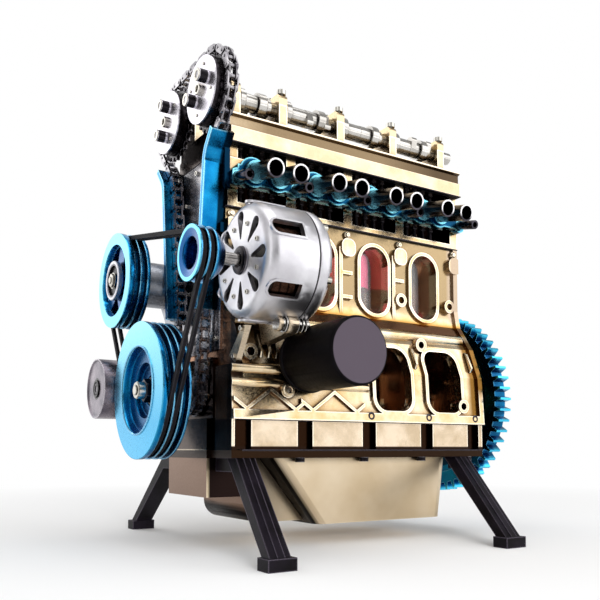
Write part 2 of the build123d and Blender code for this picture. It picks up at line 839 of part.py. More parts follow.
def port_line(x, side, y0, y1, r, drop=0):
    """A round bar along the sloping port axis, between two half widths."""
    slope = tan(radians(port_drop))
    start = (x, side * y0, trumpet_end_z - drop + (trumpet_end_y - y0) * slope)
    end = (x, side * y1, trumpet_end_z - drop + (trumpet_end_y - y1) * slope)
    length = (y1 - y0) / cos(radians(port_drop))
    direction = (0, end[1] - start[1], end[2] - start[2])
    return Plane(origin=start, z_dir=direction) * Pos(0, 0, length / 2) * Cylinder(r, length)


def make_carrier():
    """Cam carrier slab with bucket guides and the lower cam bearings."""
    side_points = [(carrier_y, head_top_z), (carrier_y, cove_foot_z),
                   (carrier_y - cove_depth, cove_foot_z + cove_depth / 2),
                   (carrier_y - cove_depth, cove_top_z - cove_depth / 2),
                   (carrier_y, cove_top_z), (carrier_y, carrier_top_z)]
    body = along_x(outline(both_sides(side_points)), block_front_x, block_rear_x)
    body -= slab((block_front_x + front_wall_thick, block_rear_x - front_wall_thick),
                 (-valley_half_width, valley_half_width), (head_top_z - over, carrier_top_z + over))
    for x in cap_xs:
        for side in (near, far):
            body += slab((x - cap_width / 2, x + cap_width / 2),
                         (side * cam_y - cam_cap_half, side * cam_y + cam_cap_half),
                         (carrier_top_z, cam_z))
    cuts = []
    for side in (near, far):
        cuts.append(bar_x(block_front_x - over, block_rear_x + over, side * cam_y, cam_z,
                          camshaft_r + run_clear))
        for x in cylinder_xs:
            for way in (-1, 1):
                guide = bar_z(-seat_reach, -bucket_top, 0, 0, bucket_r + run_clear)
                cuts.append(valve_frame(x + way * valve_offset, side) * guide)
    cuts += [screw_hole(*place, cap_screw_length()) for place in cam_cap_screws]
    return body - cuts


def cap_screw_length():
    """A cam cap screw passes the cap and enters the carrier post."""
    return cam_cap_top + screw_length


def make_cam_caps():
    """Upper halves of the cam bearings."""
    caps = []
    for side in (near, far):
        foot, top, half = cam_z, cam_z + cam_cap_top, cam_cap_half
        points = [(-half, foot), (-half, top), (half, top), (half, foot)]
        face = make_face(Polyline(*[(side * cam_y + y, z) for y, z in points], close=True))
        upper = [v for v in face.vertices() if v.Y > foot + over]
        face = fillet(upper, cam_cap_corner_r)
        for x in cap_xs:
            cap = along_x(face, x - cap_width / 2, x + cap_width / 2)
            cap -= bar_x(x - cap_width, x + cap_width, side * cam_y, cam_z, camshaft_r + run_clear)
            caps.append(cap - [screw_hole(*place, cap_screw_length()) for place in cam_cap_screws
                               if place[0] == x and place[1] * side > 0])
    return group(caps)


def make_port_flange(side):
    """Wavy flange with a collar round each port."""
    y0, y1 = port_face_y, port_face_y + port_flange_thick
    slope = tan(radians(port_drop))
    port_z = trumpet_end_z + (trumpet_end_y - y1) * slope
    face = Pos((column_xs[0] + column_xs[-1]) / 2, port_z - stud_drop / 2) * Rectangle(
        column_xs[-1] - column_xs[0], 2 * flange_web_half)
    for x in cylinder_xs:
        for way in (-1, 1):
            face += Pos(x + way * trumpet_offset, port_z) * Circle(port_flange_r)
    for x in column_xs:
        face += Pos(x, port_z - stud_drop) * Circle(stud_boss_r)
    body = along_y(face, side * y0, side * y1)
    for x in cylinder_xs:
        for way in (-1, 1):
            body += port_line(x + way * trumpet_offset, side, y1 - over, y1 + port_collar_length,
                              port_collar_r)
    cuts = []
    for x in cylinder_xs:
        for way in (-1, 1):
            cuts.append(port_line(x + way * trumpet_offset, side, y0 - 2 * over,
                                  y1 + port_collar_length + over, trumpet_bore_r))
            cuts.append(port_line(x + way * trumpet_offset, side, y1, y1 + 2 * port_collar_length,
                                  trumpet_r + seat_clear))
    for x in column_xs:
        cuts.append(port_line(x, side, y1 - over, y1 + over, stud_r + seat_clear, stud_drop))
    keep = slab((block_front_x, block_rear_x), sorted((side * y0, side * 2 * y0)),
                (block_deck_z, head_top_z))
    return (body - cuts) & keep


def make_trumpets():
    """Eight intake trumpets and five hollow studs."""
    pieces = []
    y0 = port_face_y + port_flange_thick
    for x in cylinder_xs:
        for way in (-1, 1):
            place = x + way * trumpet_offset
            tube = port_line(place, near, y0 + seat_clear, trumpet_end_y, trumpet_r)
            tube += port_line(place, near, trumpet_end_y - trumpet_lip_length, trumpet_end_y,
                              trumpet_r + trumpet_lip)
            pieces.append(tube - port_line(place, near, y0 - over, trumpet_end_y + over,
                                           trumpet_bore_r))
    for x in column_xs:
        tube = port_line(x, near, y0 - over + seat_clear, stud_end_y, stud_r, stud_drop)
        pieces.append(tube - port_line(x, near, y0, stud_end_y + over, stud_bore_r, stud_drop))
    return group(pieces)


def make_stubs():
    """Short exhaust stubs on the far side."""
    pieces = []
    y0 = port_face_y + port_flange_thick
    for x in cylinder_xs:
        for way in (-1, 1):
            place = x + way * trumpet_offset
            tube = port_line(place, far, y0 + seat_clear, stub_end_y, trumpet_r)
            pieces.append(tube - port_line(place, far, y0 - over, stub_end_y + over, trumpet_bore_r))
    for x in column_xs:
        pieces.append(port_line(x, far, y0 - over + seat_clear, y0 + stud_r, stud_r, stud_drop))
    return group(pieces)


def make_spark_plugs():
    """Four plugs in the middle of the head."""
    foot = block_deck_z + window_frame
    plug = bar_z(foot, core_top_z, 0, 0, plug_bore_r)
    plug += bar_z(core_top_z, core_top_z + plug_bore_r, 0, 0, plug_bore_r + over)
    plug += bar_z(core_top_z, carrier_top_z, 0, 0, plug_bore_r / 2)
    return group([Pos(x, 0, 0) * plug for x in cylinder_xs])


def chain_wheels():
    """Wheels of the timing chain: crank, far guide, far cam, near cam, near guide."""
    return [(0, crank_z, crank_wheel_r),
            (guide_wheel_y, guide_wheel_z, -guide_wheel_r),
            (cam_y, cam_z, cam_wheel_r),
            (-cam_y, cam_z, cam_wheel_r),
            (-guide_wheel_y, guide_wheel_z, -guide_wheel_r)]


def chain_plate(inner):
    """One side plate of the chain, drawn in Y and Z from the first pin."""
    face = Pos(chain_pitch / 2, 0) * SlotCenterToCenter(chain_pitch, 2 * plate_half_height)
    inside = inner_gap / 2 + (0 if inner else plate_thick + plate_gap)
    return [along_x(face, inside, inside + plate_thick), along_x(face, -inside - plate_thick, -inside)]


def chain_link(inner):
    """One link, its first pin at the origin and its second along plus Y."""
    link = Part() + chain_plate(inner)
    half = inner_gap / 2 + plate_thick if inner else chain_half_width()
    for y in (0, chain_pitch):
        link += bar_x(-half, half, y, 0, chain_bush_r if inner else chain_pin_r)
    if inner:
        for y in (0, chain_pitch):
            link -= bar_x(-half - over, half + over, y, 0, chain_pin_r + chain_pin_clear)
    return link


def make_chain():
    """Timing chain: inner and outer links in turn along the band."""
    places = points_on_path(tangent_path(chain_wheels()), chain_pitch)
    links = (chain_link(True), chain_link(False))
    pieces = []
    for i, (y, z) in enumerate(places):
        y1, z1 = places[(i + 1) % len(places)]
        turn = degrees(atan2(z1 - z, y1 - y))
        pieces.append(Pos(chain_x, y, z) * Rot(turn, 0, 0) * links[i % 2])
    return group(pieces)


def make_chain_wheel(teeth, pitch_r, x):
    """The toothed disc of a chain wheel, centred on the X axis."""
    root_r = pitch_r - tooth_root_drop - chain_bush_r
    tip_r = pitch_r - chain_bush_r - air
    face = toothed_face(teeth, root_r, tip_r, tooth_root_share, tooth_tip_share)
    return along_x(face, x - tooth_thick / 2, x + tooth_thick / 2)


def make_cam_wheel(side):
    """Cam sprocket with its front disc and two round knobs."""
    rear_x = cam_disc_front_x + cam_disc_thick
    body = make_chain_wheel(cam_teeth, cam_wheel_r, chain_x)
    body += bar_x(cam_disc_front_x, rear_x, 0, 0, cam_disc_r)
    body += bar_x(rear_x, chain_x + inner_gap, 0, 0, cam_disc_r / 2)
    turn = radians(knob_turns[0] if side == near else knob_turns[1])
    for way in (0, pi):
        body += bar_x(cam_disc_front_x - knob_length, cam_disc_front_x, knob_radius * cos(turn + way),
                      knob_radius * sin(turn + way), knob_r)
    body -= bar_x(cam_disc_front_x - over, chain_x + 2 * inner_gap, 0, 0, cam_disc_bore_r)
    body -= bar_x(chain_x, chain_x + 2 * inner_gap, 0, 0, camshaft_r)
    return Pos(0, side * cam_y, cam_z) * body


def make_camshaft(side):
    """Camshaft with two lobes for each cylinder, set in the firing order."""
    body = bar_x(chain_x, block_rear_x - over, 0, 0, camshaft_r)
    body -= bar_x(chain_x - over, block_rear_x, 0, 0, cam_disc_bore_r / 2)
    lobe = band_face([(0, 0, lobe_base_r), (lobe_rise, 0, lobe_nose_r)])
    quarter = 360 / cylinder_count
    for x, place in zip(cylinder_xs, firing_places):
        turn = place * quarter + side * quarter / 2
        for way in (-1, 1):
            x0 = x + way * valve_offset - lobe_width / 2
            body += Rot(turn, 0, 0) * along_x(lobe, x0, x0 + lobe_width)
    return Pos(0, side * cam_y, cam_z) * body


def make_valves(x, side):
    """The pair of valves of one cylinder side, each with its bucket."""
    foot = -valve_foot()
    bucket = bar_z(-bucket_top - bucket_height, -bucket_top, 0, 0, bucket_r)
    bucket -= bar_z(-bucket_top - bucket_height - over, -bucket_top - bucket_crown, 0, 0,
                    bucket_r - bucket_wall)
    stem = bar_z(foot, -bucket_top - bucket_crown, 0, 0, stem_r)
    head = bar_z(foot, foot + valve_head_thick, 0, 0, valve_head_r)
    valve = bucket + stem + head
    return group([valve_frame(x + way * valve_offset, side) * valve for way in (-1, 1)])


def spring_path():
    """Centre line of a valve spring as half turns, each of two arcs that meet smoothly."""
    foot = -seat_reach + spring_wire / 2
    top = -bucket_top - bucket_crown - valve_lift - 2 * air - spring_wire / 2
    rise = (top - foot) / spring_turns

    def at(turn):
        angle = 2 * pi * turn
        place = Vector(spring_r * cos(angle), spring_r * sin(angle), foot + rise * turn)
        way = Vector(-2 * pi * spring_r * sin(angle), 2 * pi * spring_r * cos(angle), rise)
        return place, way.normalized()

    edges = []
    for i in range(2 * spring_turns):
        p0, t0 = at(i / 2)
        p1, t1 = at((i + 1) / 2)
        v, t = p1 - p0, t0 + t1
        k = 2 * (1 - t0.dot(t1))
        arm = (-v.dot(t) + sqrt(v.dot(t) ** 2 + k * v.dot(v))) / k
        joint = (p0 + p1 + (t0 - t1) * arm) * 0.5
        first = Edge.make_tangent_arc(p0, t0, joint)
        edges += [first, Edge.make_tangent_arc(joint, first.tangent_at(1), p1)]
    return edges


def make_spring():
    """One valve spring, drawn in the frame of its valve."""
    edges = spring_path()
    start = Plane(origin=edges[0].position_at(0), z_dir=edges[0].tangent_at(0))
    return sweep(start * Circle(spring_wire / 2), path=Wire(edges))


def least_spring_gap():
    """Least gap between turns of a spring, measured on points of its centre line."""
    steps = 24
    line = [e.position_at(j / steps) for e in spring_path() for j in range(steps)]
    turn = len(line) // spring_turns
    return min((a - b).length for i, a in enumerate(line) for b in line[i + turn // 2:]) - spring_wire


def make_springs(side, spring):
    """The eight springs of one side."""
    return group([valve_frame(x + way * valve_offset, side) * spring
                  for x in cylinder_xs for way in (-1, 1)])


def make_guide(side):
    """Flat blue chain guide, outside the chain run of one side."""
    r0 = guide_wheel_r - plate_half_height - air
    r1 = r0 - guide_thick
    path = tangent_path(chain_wheels())
    step = path[1]
    y, z, _ = step["wheel"]
    start, swept = degrees(step["from"]), degrees(step["sweep"])

    def spot(r, angle):
        return (y + r * cos(radians(angle)), z + r * sin(radians(angle)))

    face = make_face([CenterArc((y, z), r0, start, swept),
                      Line(spot(r0, start + swept), spot(r1, start + swept)),
                      CenterArc((y, z), r1, start, swept),
                      Line(spot(r1, start), spot(r0, start))])
    lower, upper = path[0]["run"], path[1]["run"]
    length = hypot(lower[0][0] - lower[1][0], lower[0][1] - lower[1][1])
    down = ((lower[0][0] - lower[1][0]) / length, (lower[0][1] - lower[1][1]) / length)
    reach = (spot(r0, start)[1] - guide_foot_z) / -down[1]
    a, b = spot(r0, start), spot(r1, start)
    face += outline([a, b, (b[0] + reach * down[0], b[1] + reach * down[1]),
                     (a[0] + reach * down[0], a[1] + reach * down[1])])
    length = hypot(upper[0][0] - upper[1][0], upper[0][1] - upper[1][1])
    rise = ((upper[1][0] - upper[0][0]) / length, (upper[1][1] - upper[0][1]) / length)
    a, b = spot(r0, start + swept), spot(r1, start + swept)
    face += outline([a, b, (b[0] + guide_flare * rise[0], b[1] + guide_flare * rise[1]),
                     (a[0] + guide_flare * rise[0], a[1] + guide_flare * rise[1])])
    body = along_x(face, guide_front_x, block_front_x)
    tab_top = cam_z - cam_wheel_r - plate_half_height
    tab = slab((block_front_x - guide_thick, block_front_x), (y - guide_wheel_r + plate_half_height, y),
               (guide_wheel_z - guide_tab_height / 2, guide_wheel_z + guide_tab_height / 2))
    keep = Pos(block_front_x - guide_thick / 2, y, z) * Rot(0, 90, 0) * Cylinder(r0 - seat_clear,
                                                                                 guide_thick)
    body += tab & keep & slab((guide_front_x, block_front_x), (0, column_y + guide_thick),
                              (guide_foot_z, tab_top))
    slope_y = lower[0][0] + (guide_screw_z - lower[0][1]) * down[0] / down[1]
    slope_y += plate_half_height + air
    body += slab((block_front_x - guide_thick, block_front_x),
                 (slope_y + guide_thick / 2, slope_y + guide_thick + screw_head_r),
                 (guide_screw_z - screw_head_r, guide_screw_z + screw_head_r))
    return body if side == far else mirror(body, Plane.XZ)


def belt_wheels():
    """Wheels of the drive belt: crank, idler on its back, pump and alternator."""
    return [(0, crank_z, pulley_floor_r + belt_rise),
            (idler_y, idler_z, -(idler_r + belt_rise)),
            (pump_y, pump_z, pump_pulley_floor_r + belt_rise),
            (alt_y, alt_z, alt_pulley_floor_r + belt_rise)]


def make_belts():
    """Parallel belts in the first grooves."""
    ring = band_face(belt_wheels(), belt_thick / 2) - band_face(belt_wheels(), -belt_thick / 2)
    return group([along_x(ring, x - belt_width / 2, x + belt_width / 2)
                  for x in groove_xs[:belt_count]])


def grooved_rim(x0, x1, r, floor_r, grooves):
    """Profile points of a rim with grooves, from the front edge to the rear edge."""
    points = [(x0, r)]
    for x in grooves:
        points += [(x - groove_width / 2, r), (x - groove_width / 2, floor_r),
                   (x + groove_width / 2, floor_r), (x + groove_width / 2, r)]
    return points + [(x1, r)]


def make_crank_pulley():
    """Crank pulley with three grooves and a dished front that goes down in steps."""
    rim = grooved_rim(pulley_front_x, pulley_rear_x, pulley_r, pulley_floor_r, groove_xs)
    steps = []
    front = pulley_front_x
    for r, depth in zip(pulley_dish_rs, pulley_dish_depths):
        steps = [(pulley_front_x + depth, r - over / 2), (front, r), *steps]
        front = pulley_front_x + depth
    body = turned([(front, 0), *steps, *rim, (pulley_rear_x, 0)], 0, crank_z)
    return body - bar_x(pulley_front_x - over, pulley_rear_x + over, 0, crank_z, nose_r)


def make_alt_pulley():
    """Alternator pulley with a cup front, and the shaft that carries it."""
    cup = alt_pulley_floor_r - over
    depth = alt_pulley_front_x + alt_cup_depth
    land = groove_xs[-1] - groove_width / 2
    rim = grooved_rim(alt_pulley_front_x, land, alt_pulley_r, alt_pulley_floor_r,
                      groove_xs[:belt_count])
    body = turned([(depth, 0), (depth, cup - over / 2), (alt_pulley_front_x + over / 2, cup),
                   (alt_pulley_front_x, alt_pulley_r - over), *rim,
                   (alt_pulley_rear_x, alt_pulley_floor_r - over), (alt_pulley_rear_x, 0)], alt_y, alt_z)
    return body - bar_x(depth - over, alt_pulley_rear_x + over, alt_y, alt_z, alt_shaft_r)


def make_rotor():
    """Alternator shaft and rotor with claw poles."""
    x0, x1 = alt_front_x + alt_face + air, alt_rear_x - alt_face - air
    body = bar_x(alt_pulley_front_x + alt_cup_depth - over, alt_rear_x - alt_face / 2, alt_y, alt_z,
                 alt_shaft_r)
    claws = toothed_face(claw_count, rotor_r - rim_wall, rotor_r, tooth_root_share,
                         tooth_root_share - tooth_tip_share / 2)
    return body + Pos(0, alt_y, alt_z) * along_x(claws, x0 + rim_wall, x1 - rim_wall)


def make_alt_shell(front):
    """Front or rear part of the alternator shell: a cup drawn with its face at the front."""
    middle = (alt_front_x + alt_rear_x) / 2
    face_x = alt_front_x
    open_x = alt_seam_x - alt_split / 2 if front else 2 * middle - alt_seam_x - alt_split / 2
    edge = alt_edge_r
    inner = alt_r - alt_wall
    profile = make_face([Line((face_x, 0), (face_x, alt_r - edge)),
                         CenterArc((face_x + edge, alt_r - edge), edge, 180, -90),
                         Line((face_x + edge, alt_r), (open_x, alt_r)),
                         Line((open_x, alt_r), (open_x, inner)),
                         Line((open_x, inner), (face_x + edge, inner)),
                         CenterArc((face_x + edge, inner - edge + alt_wall), edge - alt_wall, 90, 90),
                         Line((face_x + alt_wall, inner - edge + alt_wall),
                              (face_x + alt_wall, alt_hub_r)),
                         Line((face_x + alt_wall, alt_hub_r), (face_x + alt_face, alt_hub_r)),
                         Line((face_x + alt_face, alt_hub_r), (face_x + alt_face, 0)),
                         Line((face_x + alt_face, 0), (face_x, 0))])
    cup = revolve(profile, Axis.X)
    cup -= bar_x(face_x - over, face_x + alt_face + over, 0, 0, alt_shaft_r + run_clear)

    # Drop shaped holes in the face, and slots in the side of the front part or notches in the rear one
    step = 360 / alt_face_slots
    narrow_r, wide_r = alt_hub_r + rim_wall, alt_r - edge - rim_wall / 2
    drop = band_face([(narrow_r, 0, over / 2), (wide_r, 0, rim_wall)])
    for i in range(alt_face_slots):
        cup -= Rot(i * step, 0, 0) * along_x(drop, face_x - over, face_x + alt_face + over)
    half = alt_slot_width / 2
    if front:
        round_x = alt_slot_front_x + half
        slot = Pos(round_x, 0) * Circle(half)
        slot += Pos((round_x + alt_slot_rear_x) / 2, 0) * Rectangle(alt_slot_rear_x - round_x, 2 * half)
    else:
        slot = Pos(face_x, 0) * Rectangle(2 * alt_notch_depth, 2 * half)
    cutter = extrude(Plane.XY.offset(alt_r - edge + over / 2) * slot, edge)
    for i in range(alt_slot_count):
        cup -= Rot((1 if front else -1) * alt_slot_turn + i * 360 / alt_slot_count, 0, 0) * cutter
    if front:
        return Pos(0, alt_y, alt_z) * cup
    return Pos(0, alt_y, alt_z) * mirror(cup, Plane.YZ.offset(middle))


def make_stator():
    """Laminated stator ring inside the alternator."""
    x0, x1 = alt_front_x + alt_edge_r, alt_rear_x - alt_edge_r
    ring = bar_x(x0, x1, alt_y, alt_z, stator_r)
    return ring - bar_x(x0 - over, x1 + over, alt_y, alt_z, stator_bore_r)


def make_alt_bracket():
    """Lower ear with its long bolt, arm to the block and curved front strut."""
    arm_x0, arm_x1 = lug_bolt_front_x + 2 * lug_bolt_r, lug_bolt_rear_x - 2 * lug_bolt_r
    arm = outline([(-waist_y - skin_rise - air, waist_z + lug_r),
                   (-waist_y - lug_r - skin_rise, waist_z - 2 * lug_r),
                   (lug_bolt_y, lug_bolt_z - lug_eye_r),
                   (lug_bolt_y - lug_eye_r + over / 2, lug_bolt_z),
                   (lug_bolt_y, lug_bolt_z + lug_eye_r)])
    body = along_x(arm, arm_x0, arm_x1)
    body += bar_x(arm_x0, arm_x1, lug_bolt_y, lug_bolt_z, lug_eye_r)
    body += bar_x(lug_bolt_front_x, lug_bolt_rear_x, lug_bolt_y, lug_bolt_z, lug_bolt_r)
    body += bar_x(lug_bolt_front_x, lug_bolt_front_x + lug_bolt_r, lug_bolt_y, lug_bolt_z,
                  lug_eye_r - over / 2)
    body -= bar_x(alt_front_x, alt_rear_x, alt_y, alt_z, alt_r + seat_clear)
    strut_x = block_front_x - guide_thick
    strut = outline([(-skirt_top_y + over, skirt_top_z), (-skirt_top_y + 2 * lug_r, skirt_top_z + lug_r),
                     (alt_y + 2 * lug_r, alt_z - alt_r - over), (alt_y + lug_r, alt_z - alt_r - over)])
    return group([body, along_x(strut, strut_x, block_front_x)])


def make_filter():
    """Spin on oil filter, a closed canister with a flat end."""
    end, base = filter_end_y, filter_base_y
    body = bar_y(base, end, filter_x, filter_z, filter_r)
    rims = [edge for edge in body.edges() if edge.center().Y < end + over]
    return fillet(rims, filter_edge_r)


def make_pump_pulley():
    """Open spoked pump pulley on its own shaft stub."""
    x0, x1 = pump_pulley_front_x, pump_pulley_rear_x
    rim = grooved_rim(x0, x1, pump_pulley_r, pump_pulley_floor_r, groove_xs[:belt_count])
    inner = pump_pulley_floor_r - rim_wall
    body = turned([(x0, inner + over / 2), *rim, (x1, inner + over / 2)], pump_y, pump_z)
    web = (x0 + rim_wall, x1 - rim_wall)
    wheel = bar_x(*web, 0, 0, inner + over) - bar_x(web[0] - over, web[1] + over, 0, 0,
                                                    pump_shaft_r + spoke_width)
    gaps = []
    for i in range(spoke_count):
        turn = 2 * pi * i / spoke_count
        half = pi / spoke_count
        gap = outline([(pump_shaft_r * cos(turn), pump_shaft_r * sin(turn)),
                       (2 * inner * cos(turn - half), 2 * inner * sin(turn - half)),
                       (2 * inner * cos(turn + half), 2 * inner * sin(turn + half))])
        inset = Pos(spoke_width * cos(turn), spoke_width * sin(turn)) * gap
        gaps.append(along_x(inset & Circle(inner), web[0] - over, web[1] + over))
    body += Pos(0, pump_y, pump_z) * (wheel - gaps)
    body += bar_x(x0 + over, x1, pump_y, pump_z, pump_shaft_r + spoke_width)
    return body + bar_x(x0, block_front_x - pump_plate_thick - over, pump_y, pump_z, pump_shaft_r)


def make_pump_housing():
    """Pump body with its mounting plate on the block front."""
    plate_x = block_front_x - pump_plate_thick
    foot_y = tub_half_width + guide_thick / 2
    plate = outline([(foot_y, liner_foot_z), (shoulder_y + lug_r, liner_foot_z - lug_r),
                     (pump_y + pump_body_r, pump_z - lug_r), (pump_y + pump_body_r, pump_z + lug_r),
                     (pump_y, pump_z + pump_body_r), (foot_y, pump_z + pump_body_r)])
    body = along_x(plate, plate_x, block_front_x)
    body += bar_x(pump_pulley_rear_x + 2 * over, plate_x, pump_y, pump_z, pump_body_r)
    return body - bar_x(pump_pulley_rear_x, plate_x - over + air, pump_y, pump_z,
                        pump_shaft_r + run_clear)


def make_idler():
    """Smooth idler pulley with a flat face, a low rim and a hub ring."""
    x0, x1 = idler_front_x, idler_rear_x
    bore, hub = idler_shaft_r + run_clear, idler_shaft_r + over
    return turned([(x0, bore), (x0, hub), (x0 + over / 2, hub), (x0 + over / 2, idler_r - over),
                   (x0, idler_r - over / 2), (x0, idler_r), (x1, idler_r), (x1, bore)],
                  idler_y, idler_z)


def make_idler_arm():
    """Tensioner arm on the block front, with the stub shaft of the idler."""
    plate_x = block_front_x - arm_thick
    plate = band_face([(skirt_y - 2 * lug_eye_r, crank_z + lug_eye_r, 2 * lug_eye_r),
                       (idler_y, idler_z, 2 * idler_shaft_r)])
    body = along_x(plate, plate_x, block_front_x)
    body += bar_x(idler_rear_x + air, plate_x, idler_y, idler_z, 2 * idler_shaft_r)
    body += bar_x(idler_front_x + over, plate_x, idler_y, idler_z, idler_shaft_r)
    return body


def gear_module():
    """Tooth size of the crank gear."""
    return 2 * gear_tip_r / (gear_teeth + 2)


def make_gear():
    """Large crank gear with a rim, a thin web and round holes."""
    module = gear_module()
    root_r = gear_tip_r - 2 * module - module / 4
    face = toothed_face(gear_teeth, root_r, gear_tip_r, tooth_root_share, tooth_tip_share)
    body = along_x(face, gear_front_x, gear_rear_x)
    inner = root_r - gear_rim
    depth = (gear_rear_x - gear_front_x - gear_web_thick) / 2
    for x0, x1 in ((gear_front_x - over, gear_front_x + depth), (gear_rear_x - depth, gear_rear_x + over)):
        body -= bar_x(x0, x1, 0, 0, inner) - bar_x(x0, x1, 0, 0, gear_hub_r)
    ring = (inner + gear_hub_r) / 2
    for i in range(gear_holes):
        turn = 2 * pi * i / gear_holes
        body -= bar_x(gear_front_x - over, gear_rear_x + over, ring * cos(turn), ring * sin(turn),
                      gear_hole_r)
    body -= bar_x(gear_front_x - over, gear_rear_x + over, 0, 0, journal_r)
    return Pos(0, 0, crank_z) * body


def pinion_place():
    """Centre of the motor pinion, as y and z."""
    module = gear_module()
    reach = module * (gear_teeth + pinion_teeth) / 2 + mesh_ease
    return reach * cos(radians(motor_turn)), crank_z + reach * sin(radians(motor_turn))


def make_pinion():
    """Motor pinion, turned so that a gap faces a tooth of the crank gear."""
    module = gear_module()
    y, z = pinion_place()
    tip_r = module * (pinion_teeth + 2) / 2
    face = toothed_face(pinion_teeth, tip_r - 2 * module - module / 4, tip_r, tooth_root_share,
                        tooth_tip_share)
    # The crank gear has a tooth on plus Y, so its phase at the mesh gives that of the pinion
    gear_phase = motor_turn * gear_teeth / 360
    pinion_turn = motor_turn + 180 + (gear_phase + 1 / 2) * 360 / pinion_teeth
    body = Rot(pinion_turn, 0, 0) * along_x(face, gear_front_x, gear_rear_x)
    body += bar_x(block_rear_x - over, gear_front_x, 0, 0, motor_shaft_r)
    return Pos(0, y, z) * body


def make_motor():
    """Drive motor beside the block, on a plate at the block's rear face."""
    y, z = pinion_place()
    plate = band_face([(waist_y - 2 * lug_eye_r, z, 2 * lug_eye_r), (y, z, motor_r)])
    body = along_x(plate, block_rear_x, block_rear_x + motor_plate_thick)
    body += bar_x(motor_front_x, block_rear_x, y, z, motor_r)
    body += bar_x(motor_front_x - rim_wall, motor_front_x, y, z, alt_hub_r)
    return body - bar_x(block_rear_x - 2 * over, block_rear_x + 2 * motor_plate_thick, y, z,
                        motor_shaft_r + run_clear)


def make_legs():
    """Four splayed legs, each an arm under the pan flange, a ridged bar and a pad."""
    legs = []
    for i, (x, root_y) in enumerate(zip(leg_xs, (tub_half_width, sump_half_width))):
        for side, lean in ((near, near_leg_lean[i]), (far, far_leg_lean[i])):
            foot_x = x - lean
            leg = slab((x - leg_width / 2, x + leg_width / 2), sorted((side * root_y, side * leg_knee_y)),
                       (leg_arm_z, leg_top_z))
            for width, rise in ((leg_width, 0), (leg_ridge_width, leg_ridge_rise)):
                leg += leg_bar(x, foot_x, side, width, rise)
            leg += slab((foot_x - pad_width / 2, foot_x + pad_width / 2),
                        sorted((side * (leg_foot_y - pad_length), side * leg_foot_y)), (0, pad_thick))
            legs.append(leg)
    return group(legs)


def leg_bar(top_x, foot_x, side, width, rise):
    """A slanting bar from the leg's knee to its pad, its outer face pushed out by rise."""
    foot_y = leg_foot_y - leg_ridge_rise - pad_edge
    foot_depth = pad_length - leg_ridge_rise - 2 * pad_edge
    ends = []
    for x, y, z, depth in ((foot_x, foot_y, pad_thick - pad_edge, foot_depth),
                           (top_x, leg_knee_y, leg_top_z, leg_depth)):
        middle = side * (y - depth / 2 + rise / 2)
        ends.append(Plane.XY.offset(z) * Pos(x, middle) * Rectangle(width, depth + rise))
    return loft(ends)


def make_crankshaft():
    """Main journals, webs with counterweights, nose and rear flange.

    The crank pins travel with the connecting rods.
    """
    web_outer = web_gap / 2 + web_thick
    pieces = []
    starts = [block_front_x - over] + [x + web_outer for x in cylinder_xs]
    ends = [x - web_outer for x in cylinder_xs] + [gear_rear_x]
    for x0, x1 in zip(starts, ends):
        pieces.append(bar_x(x0, x1, 0, crank_z, journal_r))
    for x, way in zip(cylinder_xs, pin_signs):
        cheek = band_face([(0, crank_z - way * over, web_cheek_r),
                           (0, crank_z + way * crank_throw, web_cheek_r)])
        reach = 2 * counterweight_r
        wedge = outline([(0, crank_z), (reach * sin(radians(counterweight_half_angle)),
                                        crank_z - way * reach * cos(radians(counterweight_half_angle))),
                         (0, crank_z - 2 * way * reach),
                         (-reach * sin(radians(counterweight_half_angle)),
                          crank_z - way * reach * cos(radians(counterweight_half_angle)))])
        face = cheek + (wedge & (Pos(0, crank_z) * Circle(counterweight_r)))
        for side in (-1, 1):
            inner, outer = x + side * web_gap / 2, x + side * web_outer
            pieces.append(along_x(face, min(inner, outer), max(inner, outer)))
    pieces.append(bar_x(pulley_front_x, block_front_x - over, 0, crank_z, nose_r))
    pieces.append(bar_x(block_rear_x + air, gear_front_x, 0, crank_z, gear_hub_r))
    body = Part() + pieces
    return body


def make_crank_wheel():
    """Crank sprocket with a hub to each side."""
    body = make_chain_wheel(crank_teeth, crank_wheel_r, chain_x)
    hub_r = crank_wheel_r - tooth_root_drop - chain_bush_r
    body += bar_x(chain_x - chain_half_width(), chain_x + chain_half_width(), 0, 0, hub_r)
    body -= bar_x(chain_x - 2 * chain_half_width(), block_front_x, 0, 0, nose_r)
    return Pos(0, 0, crank_z) * body


def make_piston(x, z):
    """Hollow piston with grooves, rings and its wrist pin."""
    foot, top = z + crown_height - piston_height, z + crown_height
    body = bar_z(foot, top, x, 0, piston_r)
    body -= bar_z(foot - over, top - crown_thick, x, 0, piston_r - piston_wall)
    inner = piston_r - piston_wall / 2
    boss_gap = small_end_width / 2 + air
    for x0, x1 in ((x - inner, x - boss_gap), (x + boss_gap, x + inner)):
        body += slab((x0, x1), (-wrist_boss_r, wrist_boss_r), (foot + over, top - crown_thick)) \
            & bar_z(foot, top, x, 0, inner)
    body -= bar_x(x - piston_r - over, x + piston_r + over, 0, z, wrist_pin_r)
    rings = []
    for i in range(ring_count):
        z0 = top - ring_pitch * (i + 1)
        groove = bar_z(z0, z0 + ring_height, x, 0, piston_r + over)
        body -= groove - bar_z(z0, z0 + ring_height, x, 0, piston_r - ring_depth)
        rings.append(bar_z(z0, z0 + ring_height, x, 0, piston_r + ring_proud)
                     - bar_z(z0 - over, z0 + ring_height + over, x, 0, piston_r - ring_depth))
    pin = bar_x(x - inner, x + inner, 0, z, wrist_pin_r)
    return group([body, pin, *rings])


